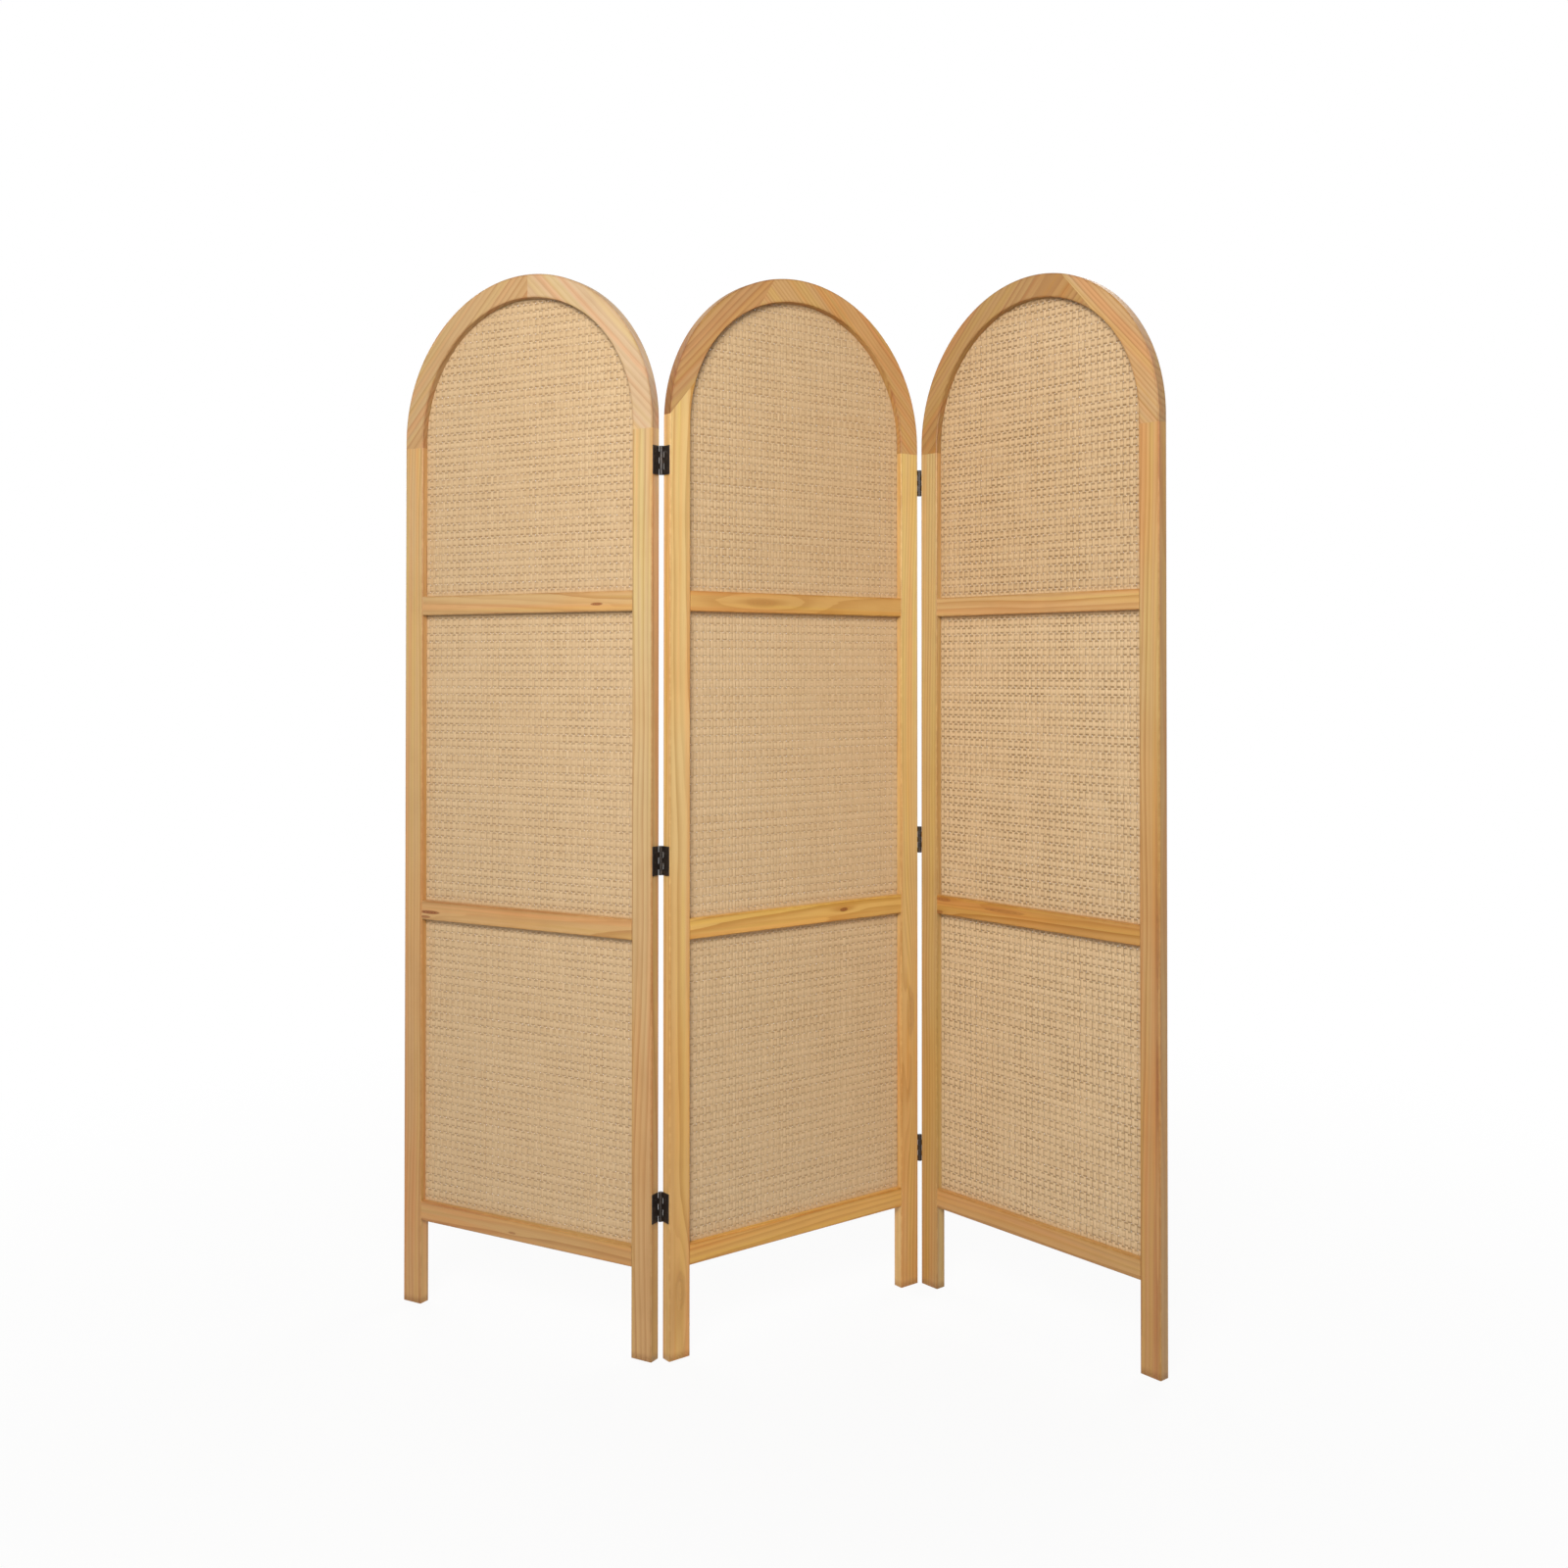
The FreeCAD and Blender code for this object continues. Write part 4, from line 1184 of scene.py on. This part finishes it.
        # A cane is darker at its edges, partly its own colour and partly painted shade in the gaps
        # between bands; of a pair of uprights only the outer edges show.
        rim = w.math("MULTIPLY", share, 2.0)
        if upright:
            partner = w.math("MULTIPLY_ADD", w.math("MODULO", band, 2.0), 2.0, -1.0)
            rim = w.math("MAXIMUM", w.math("MULTIPLY", rim, partner), 0.0)
        rim = w.math("MULTIPLY", w.math("ABSOLUTE", rim), self.size("Rim", upright))
        for name, value, kind in (("fibre", fibre, "FLOAT_VECTOR"), ("tone", tone, "FLOAT"),
                                  ("rim", rim, "FLOAT"), ("shade", given["Shade"], "FLOAT")):
            mesh = w.add("GeometryNodeStoreNamedAttribute", {
                "Geometry": mesh, "Name": name, "Value": value},
                data_type=kind, domain="POINT").outputs[0]
        return mesh


def grown(name: str, base: bpy.types.Mesh, tree: bpy.types.NodeTree,
          values: dict[str, Any]) -> bpy.types.Object:
    """Run a geometry tree once and keep what it makes as a plain mesh.

    Args:
        name: Name of the new object.
        base: The mesh that the tree starts from.
        tree: The geometry tree.
        values: What its inputs get, by name.

    Returns:
        The new object, with no modifier.
    """
    maker = bpy.data.objects.new(name + "_maker", base)
    bpy.context.scene.collection.objects.link(maker)
    modifier = maker.modifiers.new("grow", "NODES")
    modifier.node_group = tree
    for item in tree.interface.items_tree:
        if item.item_type == "SOCKET" and item.in_out == "INPUT" and item.name in values:
            modifier[item.identifier] = values[item.name]
    bpy.context.view_layer.update()
    graph = bpy.context.evaluated_depsgraph_get()
    mesh = bpy.data.meshes.new_from_object(maker.evaluated_get(graph), depsgraph=graph)
    bpy.data.objects.remove(maker)
    made = bpy.data.objects.new(name, mesh)
    mesh.name = name
    bpy.context.scene.collection.objects.link(made)
    return made


@dataclass(frozen=True)
class Sheet:
    """How one sheet of webbing differs from the others.

    Attributes:
        shade: How much nearer its canes are to the deep colour than the finish's own mix, as
            painted shade for how the light falls on this sheet.
        level_rim: How wide the dark edges of the bands that run across are, which are partly their
            own colour and partly painted shade between the bands.
        upright_rim: The same for the outer edges of the pairs that run up.
    """

    shade: float
    level_rim: float
    upright_rim: float


@dataclass
class CaneWebbing:
    """The three woven sheets of one panel.

    Attributes:
        stance: Where the panel stands.
        tree: The weave's geometry tree.
        material: The cane's finish.
        sheets: What sets each of them apart.
        level_pitch: Pitch of the bands that run across, in metres, before it is fitted.
        upright_pitch: The same for the bands that run up.
        level_width: Width of a band that runs across, in metres.
        upright_width: Width of a band that runs up, in metres.
        pairing: How far each of those moves towards its partner, in metres.
        thickness: Thickness of a band, in metres.
        canes: Canes side by side in a band.
        groove: Depth of the grooves between them, in metres.
        crimp: How far a band swings to either side of the sheet's middle, in metres.
        bite: How far past a gap's middle a band reaches its full swing, in metres.
        stray: How unevenly the bands lie, in metres.
        drift: How far a band wanders along its length, in metres.
        stub: Shortest piece that may end a band, in metres.
    """

    stance: Stance
    tree: bpy.types.NodeTree
    material: bpy.types.Material
    sheets: dict[Opening, Sheet]
    level_pitch: float = 0.0125
    upright_pitch: float = 0.00625
    level_width: float = 0.0115
    upright_width: float = 0.0058
    pairing: float = 0.00015
    thickness: float = 0.0009
    canes: int = 2
    groove: float = 0.00008
    crimp: float = 0.00045
    bite: float = 0.0011
    stray: float = 0.0004
    drift: float = 0.0009
    stub: float = 0.0002

    def build(self) -> None:
        """Weave each sheet in the room that its CAD solid holds."""
        panel = self.stance.panel
        place = self.stance.matrix()
        back = place.inverted()
        for number, opening in enumerate(Opening):
            node = f"{panel.value}_webbing_{opening.value}"
            corners = [back @ vertex.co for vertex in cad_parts[node].data.vertices]
            low = Vector(min(c[axis] for c in corners) for axis in range(3))
            high = Vector(max(c[axis] for c in corners) for axis in range(3))
            radius = (high.x - low.x) / 2 if opening is Opening.TOP else 0.0
            sheet = grown(f"{panel.value}_cane_{opening.value}",
                          bpy.data.meshes.new("empty"), self.tree, {
                "Left": low.x, "Right": high.x, "Foot": low.z, "Spring": high.z - radius,
                "Radius": radius, "Depth": (low.y + high.y) / 2,
                "Level Pitch": self.level_pitch, "Upright Pitch": self.upright_pitch,
                "Level Width": self.level_width, "Upright Width": self.upright_width,
                "Pairing": self.pairing, "Level Rim": self.sheets[opening].level_rim,
                "Upright Rim": self.sheets[opening].upright_rim,
                "Thickness": self.thickness, "Canes": float(self.canes),
                "Groove": self.groove, "Crimp": self.crimp, "Bite": self.bite,
                "Stray": self.stray, "Drift": self.drift, "Stub": self.stub,
                "Shade": self.sheets[opening].shade,
                "Seed": 3 * list(Panel).index(panel) + number, "Material": self.material,
            })
            sheet.data.transform(place)
            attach(sheet, panel.body)
            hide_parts(node)
            sheet.data.calc_loop_triangles()
            log.info("wove %s, %d triangles", sheet.name, len(sheet.data.loop_triangles))


# ---------------------------------------------------------------- hinges


def screw_tree() -> bpy.types.NodeTree:
    """Geometry tree that sets a screw on every point, each turned its own way.

    Returns:
        The tree.
    """
    takes = {"Geometry": "shape", "Screw": "object", "Outward": "vector", "Seed": "count",
             "Material": "material"}
    w, given, out = new_tree("screw_row", "GeometryNodeTree", takes, {"Geometry": "shape"})
    screw = w.add("GeometryNodeObjectInfo", {"Object": given["Screw"]}).outputs["Geometry"]
    facing = w.add("FunctionNodeAlignRotationToVector", {"Vector": given["Outward"]},
                   axis="Z").outputs[0]
    turn = w.add("FunctionNodeRandomValue", {2: 0.0, 3: math.tau, "Seed": given["Seed"]},
                 data_type="FLOAT").outputs[1]
    spin = w.add("FunctionNodeAxisAngleToRotation", {"Axis": (0.0, 0.0, 1.0), "Angle": turn})
    rotation = w.add("FunctionNodeRotateRotation", {"Rotation": facing,
                                                    "Rotate By": spin.outputs[0]},
                     rotation_space="LOCAL").outputs[0]
    placed = w.add("GeometryNodeInstanceOnPoints", {"Points": given["Geometry"],
                                                    "Instance": screw, "Rotation": rotation})
    real = w.add("GeometryNodeRealizeInstances", {"Geometry": placed.outputs[0]}).outputs[0]
    w.feed(out.inputs[0], w.add("GeometryNodeSetMaterial", {
        "Geometry": real, "Material": given["Material"]}).outputs[0])
    return w.tree


@dataclass(frozen=True)
class ScrewPattern:
    """A countersunk cross-head screw, its head flush at the origin and its shank below.

    Attributes:
        head: Radius of the head, in metres.
        shank: Radius of the shank, in metres.
        sink: Depth of the countersunk head, in metres.
        length: Depth that is modelled, in metres.
        arm: Half length of the cross recess, in metres.
        slot: Half width of the cross recess, in metres.
        recess: Depth of the cross recess, in metres.
        taper: Length of the recess's floor as a share of its mouth.
        narrowing: How much a slot narrows for each share by which it shortens.
        ease: Depth of the head's eased rim, in metres.
        crown: Radius of the head's flat top as a share of the head's.
        sides: Sides of the round parts.
    """

    head: float = 3.0 * MM
    shank: float = 1.5 * MM
    sink: float = 1.5 * MM
    length: float = 8.0 * MM
    arm: float = 1.7 * MM
    slot: float = 0.42 * MM
    recess: float = 0.9 * MM
    taper: float = 0.55
    narrowing: float = 0.4
    ease: float = 0.08 * MM
    crown: float = 0.985
    sides: int = 24

    def build(self) -> bpy.types.Object:
        """Model the screw.

        Returns:
            The screw as an object to be copied from.
        """
        shape = bmesh.new()

        def loop(points: Iterable[tuple[float, float]], height: float) -> list:
            """Points of one closed outline at a height."""
            return [shape.verts.new((x, y, height)) for x, y in points]

        def circle(radius: float) -> list[tuple[float, float]]:
            """Points of a circle."""
            turns = [math.tau * step / self.sides for step in range(self.sides)]
            return [(radius * math.cos(turn), radius * math.sin(turn)) for turn in turns]

        def walls(upper: list, lower: list) -> None:
            """Make the faces between two outlines.

            Args:
                upper: Points of one outline.
                lower: As many points of the other, in the same order.
            """
            for index, vertex in enumerate(upper):
                after = (index + 1) % len(upper)
                shape.faces.new((vertex, lower[index], lower[after], upper[after]))

        def cross(shrink: float) -> list[tuple[float, float]]:
            """Outline of the cross recess.

            Args:
                shrink: Its length as a share of the length at its mouth.

            Returns:
                Its points.
            """
            a, s = self.arm * shrink, self.slot * (1.0 - self.narrowing * (1.0 - shrink))
            return [(a, -s), (a, s), (s, s), (s, a), (-s, a), (-s, s), (-a, s), (-a, -s),
                    (-s, -s), (-s, -a), (s, -a), (s, -s)]

        edge = loop(circle(self.head * self.crown), 0.0)
        rim = loop(circle(self.head), -self.ease)
        neck = loop(circle(self.shank), -self.sink)
        tip = loop(circle(self.shank), -self.length)
        mouth = loop(cross(1.0), 0.0)
        floor = loop(cross(self.taper), -self.recess)
        walls(edge, rim)
        walls(rim, neck)
        walls(neck, tip)
        shape.faces.new(tip)
        walls(mouth, floor)
        shape.faces.new(floor)
        borders = [shape.edges.get((points[i], points[(i + 1) % len(points)]))
                   for points in (edge, mouth) for i in range(len(points))]
        bmesh.ops.triangle_fill(shape, use_beauty=True, use_dissolve=False, edges=borders)
        bmesh.ops.recalc_face_normals(shape, faces=shape.faces)
        mesh = bpy.data.meshes.new("screw_pattern")
        shape.to_mesh(mesh)
        shape.free()
        return bpy.data.objects.new("screw_pattern", mesh)


@dataclass
class HingeRow:
    """The three hinges of one fold, which keep their CAD shapes but for the screws.

    Attributes:
        fold: Name of the fold.
        sides: The hinged side of each panel that it joins, as the panel and the direction
            out of its edge along the panel's x axis.
        stances: Where the panels stand.
        finish: Material of the leaves, pins and screws.
        tree: The screws' geometry tree.
        screw: The screw to copy.
        flatness: How far below the heads' plane a point still counts as on it, in metres.
        apart: Least gap in height between two heads, in metres.
    """

    fold: str
    sides: tuple[tuple[Panel, float], ...]
    stances: dict[Panel, Stance]
    finish: bpy.types.Material
    tree: bpy.types.NodeTree
    screw: bpy.types.Object
    flatness: float = 0.05 * MM
    apart: float = 4.0 * MM

    def dress(self) -> None:
        """Coat the leaves and pins, and set the screws."""
        for name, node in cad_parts.items():
            if name.startswith(f"{self.fold}_hinge_") and "screws" not in name:
                wear(node, self.finish)
                log.info("dressed %s in black", name)
        for number, (panel, sign) in enumerate(self.sides):
            self.set_screws(panel, sign, number)

    def set_screws(self, panel: Panel, sign: float, seed: int) -> None:
        """Put cross-head screws where a panel's CAD screws are.

        Args:
            panel: The panel that they are driven into.
            sign: Direction out of its edge, along its x axis.
            seed: Seed of the screws' turns.
        """
        node = f"{self.fold}_hinge_screws_{panel.value}"
        outward = self.stances[panel].matrix().to_3x3() @ Vector((sign, 0.0, 0.0))
        spots = [vertex.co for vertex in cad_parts[node].data.vertices]
        face = max(spot.dot(outward) for spot in spots) - self.flatness
        heads: list[list[Vector]] = []
        for spot in sorted((s for s in spots if s.dot(outward) > face), key=lambda s: s.z):
            if not heads or spot.z - heads[-1][-1].z > self.apart:
                heads.append([])
            heads[-1].append(spot)
        places = bpy.data.meshes.new("screw_places")
        middles = [Vector((min(s[a] for s in head) + max(s[a] for s in head)) / 2
                          for a in range(3)) for head in heads]
        places.from_pydata(middles, [], [])
        made = grown(f"{self.fold}_cross_screws_{panel.value}", places, self.tree, {
            "Screw": self.screw, "Outward": tuple(outward), "Seed": seed,
            "Material": self.finish})
        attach(made, panel.body)
        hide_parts(node)
        log.info("set %d screws in %s", len(middles), made.name)


# ---------------------------------------------------------------- studio


WHITE = (1.0, 1.0, 1.0, 1.0)


class LampKind(Enum):
    """The kinds of lamp in the studio."""

    AREA = "AREA"
    SUN = "SUN"


@dataclass(frozen=True)
class Lamp:
    """A soft light.

    Attributes:
        name: The lamp's name.
        kind: A square panel, or light that falls the same way everywhere.
        place: Where it hangs, in metres.
        aim: What it points at.
        spread: Side of the panel in metres, or the far light's angle in degrees.
        power: Watts, or watts to a square metre for the far light.
    """

    name: str
    kind: LampKind
    place: tuple[float, float, float]
    aim: tuple[float, float, float]
    spread: float
    power: float

    def build(self) -> None:
        """Hang the lamp."""
        lamp = bpy.data.lights.new(self.name, self.kind.value)
        if self.kind is LampKind.AREA:
            lamp.size = self.spread
        else:
            lamp.angle = math.radians(self.spread)
        lamp.energy = self.power
        thing = bpy.data.objects.new(self.name, lamp)
        thing.location = self.place
        thing.rotation_euler = (Vector(self.aim) - Vector(self.place)).to_track_quat(
            "-Z", "Y").to_euler()
        bpy.context.scene.collection.objects.link(thing)


@dataclass(frozen=True)
class Studio:
    """Pale floor, white surroundings, soft lamps and the camera.

    Attributes:
        floor_half: Half the floor's side, in metres.
        floor_colour: The floor, as the lamps light it.
        floor_roughness: Roughness of the floor.
        whitened: How far the floor looks plain white under the screen, from 0 to 1.
        near: Distance from the screen's middle where it begins to look whiter, in metres.
        far: Distance from which it looks wholly white, in metres.
        ambient: Strength of the surroundings' light.
        lamps: The soft lamps.
        eye: Where the camera stands.
        tilt: Degrees that it looks up from level.
        focal: Focal length in frame widths.
        centre: Middle of the lens's view in the frame, as shares from its top left.
    """

    floor_half: float = 20.0
    floor_colour: tuple[float, ...] = shade(198, 196, 193)
    floor_roughness: float = 0.9
    whitened: float = 0.93
    near: float = 0.6
    far: float = 2.4
    ambient: float = 0.13
    lamps: tuple[Lamp, ...] = (
        Lamp("key", LampKind.SUN, (-0.15, -2.6, 3.4), (0.0, 0.0, 1.2), 30.0, 0.36),
        Lamp("top", LampKind.AREA, (-0.35, -2.7, 2.3), (0.0, 0.0, 1.6), 1.5, 99.0),
        Lamp("back_left", LampKind.AREA, (-1.8, 2.3, 2.4), (0.0, 0.0, 1.3), 1.8, 60.0),
        Lamp("back_right", LampKind.AREA, (1.8, 2.3, 2.4), (0.0, 0.0, 1.3), 1.8, 60.0),
    )
    eye: tuple[float, float, float] = (0.11166, -2.57914, 1.06164)
    tilt: float = 0.611
    focal: float = 1.01384
    centre: tuple[float, float] = (0.53184, 0.41596)

    def build(self) -> None:
        """Set up everything that isn't part of the screen."""
        self.camera()
        self.floor()
        self.world()
        for lamp in self.lamps:
            lamp.build()
        bpy.context.scene.view_settings.view_transform = "Standard"
        log.info("set up the studio")

    def camera(self) -> None:
        """Place the camera, with its view shifted as the framing needs."""
        lens = bpy.data.cameras.new("camera")
        lens.sensor_width = 36.0
        lens.lens = self.focal * lens.sensor_width
        lens.shift_x = 0.5 - self.centre[0]
        lens.shift_y = self.centre[1] - 0.5
        thing = bpy.data.objects.new("camera", lens)
        thing.location = self.eye
        thing.rotation_euler = (math.radians(90.0 + self.tilt), 0.0, 0.0)
        bpy.context.scene.collection.objects.link(thing)
        bpy.context.scene.camera = thing

    def floor(self) -> None:
        """Lay the floor, which looks white but keeps a soft shadow near the screen."""
        half = self.floor_half
        mesh = bpy.data.meshes.new("floor")
        mesh.from_pydata([(-half, -half, 0), (half, -half, 0), (half, half, 0),
                          (-half, half, 0)], [], [(0, 1, 2, 3)])
        thing = bpy.data.objects.new("floor", mesh)
        bpy.context.scene.collection.objects.link(thing)
        material, w, shader = new_material("pale_floor")
        shader.inputs["Base Color"].default_value = self.floor_colour
        shader.inputs["Roughness"].default_value = self.floor_roughness
        coords = w.add("ShaderNodeTexCoord").outputs["Object"]
        away = w.add("ShaderNodeVectorMath", {0: coords}, operation="LENGTH").outputs["Value"]
        white = w.add("ShaderNodeEmission", {"Color": WHITE, "Strength": 1.0})
        share = w.math("MULTIPLY", w.seen(), w.ramp(away, self.near, self.far, self.whitened))
        mixed = w.add("ShaderNodeMixShader", {0: share, 1: shader.outputs[0],
                                              2: white.outputs[0]})
        w.feed(material.node_tree.nodes["Material Output"].inputs["Surface"], mixed.outputs[0])
        wear(thing, material)

    def world(self) -> None:
        """Surround the scene with an even light that looks white."""
        world = bpy.data.worlds.new("surroundings")
        world.use_nodes = True
        bpy.context.scene.world = world
        w = Wiring(world.node_tree)
        plain = world.node_tree.nodes["Background"]
        plain.inputs["Color"].default_value = WHITE
        plain.inputs["Strength"].default_value = self.ambient
        white = w.add("ShaderNodeBackground", {"Color": WHITE, "Strength": 1.0})
        mixed = w.add("ShaderNodeMixShader", {0: w.seen(), 1: plain.outputs[0],
                                              2: white.outputs[0]})
        w.feed(world.node_tree.nodes["World Output"].inputs["Surface"], mixed.outputs[0])


# ---------------------------------------------------------------- the whole screen


# Degrees that each panel is turned about z.
TURNS = {Panel.LEFT: -28.8, Panel.CENTRE: 38.4, Panel.RIGHT: -48.6}

BEADS = {f"beads_{opening.value}": Board(Tone.AMBER, (0.08, 0.05), 0.006) for opening in Opening}

DOWELS = {"dowels": Board(Tone.BEECH, (0.05, 0.05), 0.003, strength=0.3)}

BOARDS = {
    Panel.LEFT: {
        "stile_left": Board(Tone.HONEY, (0.11, 0.05), 0.0060, top_light_paint=1.0),
        "stile_right": Board(Tone.PEACH, (-0.09, 0.06), 0.0075, strength=0.7, top_light_paint=1.0),
        "arch_left": Board(Tone.WHEAT, (0.12, 0.06), 0.0070, strength=0.7),
        "arch_right": Board(Tone.CREAM, (0.10, 0.09), 0.0080, strength=0.6),
        "rail_bottom": Board(Tone.TAN, (0.06, 0.07), 0.0065,
                             knots=(Knot(0.004, -0.02, 0.002, 4.0, 0.6),)),
        "rail_middle": Board(Tone.HONEY, (0.03, 0.06), 0.0060,
                             knots=(Knot(0.003, -0.198, 0.0030, 7.5, 1.0),
                                    Knot(0.011, -0.208, 0.0024, 5.0, 0.8))),
        "rail_top": Board(Tone.PEACH, (-0.05, 0.07), 0.0065,
                          knots=(Knot(0.004, 0.148, 0.0024, 5.0, 0.9),)),
    },
    Panel.CENTRE: {
        "stile_left": Board(Tone.STRAW, (0.02, 0.05), 0.0070, top_light_paint=1.0,
                            knots=(Knot(0.002, 0.105, 0.010, 3.0, 0.2),)),
        "stile_right": Board(Tone.STRAW, (0.10, 0.05), 0.0060, top_light_paint=1.0,
                             knots=(Knot(0.002, 0.47, 0.009, 5.0, 0.25),
                                    Knot(0.000, 0.36, 0.007, 6.0, 0.15))),
        "arch_left": Board(Tone.AMBER, (0.12, 0.07), 0.0075, sawn=1.0),
        "arch_right": Board(Tone.HONEY, (0.10, 0.08), 0.0055),
        "rail_bottom": Board(Tone.GOLD, (0.05, 0.06), 0.0060),
        "rail_middle": Board(Tone.BUTTER, (0.02, 0.05), 0.0065,
                             knots=(Knot(-0.002, 0.09, 0.0035, 2.5, 0.9),)),
        "rail_top": Board(Tone.BRASS, (0.01, 0.05), 0.0060, wave=0.045,
                          knots=(Knot(0.0, -0.08, 0.008, 4.0, 0.15),)),
    },
    Panel.RIGHT: {
        "stile_left": Board(Tone.FAWN, (0.12, 0.05), 0.0060, top_light_paint=1.0),
        "stile_right": Board(Tone.TAN, (-0.10, 0.05), 0.0065, top_light_paint=1.0,
                             knots=(Knot(0.0125, 0.56, 0.0036, 90.0, 0.32),
                                    Knot(0.0145, 0.65, 0.0030, 26.0, 0.45),
                                    Knot(0.0140, 0.44, 0.0026, 28.0, 0.4),
                                    Knot(0.0095, 0.13, 0.0042, 36.0, 0.22))),
        "arch_left": Board(Tone.RUSSET, (0.10, 0.06), 0.0060, strength=0.7, sawn=0.15),
        "arch_right": Board(Tone.WHEAT, (0.16, 0.03), 0.0065, strength=0.9, sawn=0.3),
        "rail_bottom": Board(Tone.TAN, (0.05, 0.06), 0.0060),
        "rail_middle": Board(Tone.ORANGE, (0.04, 0.06), 0.0065,
                             knots=(Knot(-0.010, -0.200, 0.0036, 5.0, 0.6),
                                    Knot(0.012, -0.210, 0.0030, 3.0, 0.7),
                                    Knot(-0.005, -0.06, 0.0034, 14.0, 0.45))),
        "rail_top": Board(Tone.PEACH, (0.05, 0.07), 0.0060),
    },
}

# Each panel's cane finish, and for each sheet its painted shade, darkest on the top sheets, and
# the width of its dark edges.
CANES = {
    Panel.LEFT: (CaneFinish(edge=(0.60, 0.55, 0.46, 1.0)), {
        Opening.BOTTOM: Sheet(0.22, 1.1, 0.85), Opening.MIDDLE: Sheet(0.22, 1.15, 0.9),
        Opening.TOP: Sheet(0.28, 1.25, 0.85)}),
    Panel.CENTRE: (CaneFinish(edge=(0.70, 0.65, 0.56, 1.0)), {
        Opening.BOTTOM: Sheet(0.08, 1.2, 0.95), Opening.MIDDLE: Sheet(0.12, 1.0, 0.85),
        Opening.TOP: Sheet(0.22, 1.3, 1.05)}),
    Panel.RIGHT: (CaneFinish(edge=(0.50, 0.44, 0.34, 1.0)), {
        Opening.BOTTOM: Sheet(-0.03, 1.2, 1.15), Opening.MIDDLE: Sheet(0.07, 1.4, 1.0),
        Opening.TOP: Sheet(0.28, 1.4, 1.05)}),
}

# The panels that each row of hinges joins, and the way out of their hinged edges along x.
FOLDS = {
    "left": ((Panel.LEFT, 1.0), (Panel.CENTRE, -1.0)),
    "right": ((Panel.CENTRE, 1.0), (Panel.RIGHT, -1.0)),
}


def main() -> None:
    """Build the classes in order and report each piece."""
    logging.basicConfig(level=logging.INFO, format="%(name)s: %(message)s")
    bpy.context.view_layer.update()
    stances = {panel: Stance(panel, turn) for panel, turn in TURNS.items()}
    Studio().build()
    effects = Effects()
    for panel, stance in stances.items():
        PineFrame(stance, BOARDS[panel] | BEADS | DOWELS, effects).dress()
    weave = CaneWeave().tree
    for panel, stance in stances.items():
        finish, sheets = CANES[panel]
        cane = finish.dress(f"cane_{panel.value}", effects)
        CaneWebbing(stance, weave, cane, sheets).build()
    black = BlackCoat().dress("black_coat")
    screw = ScrewPattern().build()
    setting = screw_tree()
    for fold, sides in FOLDS.items():
        HingeRow(fold, sides, stances, black, setting, screw).dress()
    bpy.data.objects.remove(screw)


if __name__ == "__main__":
    main()
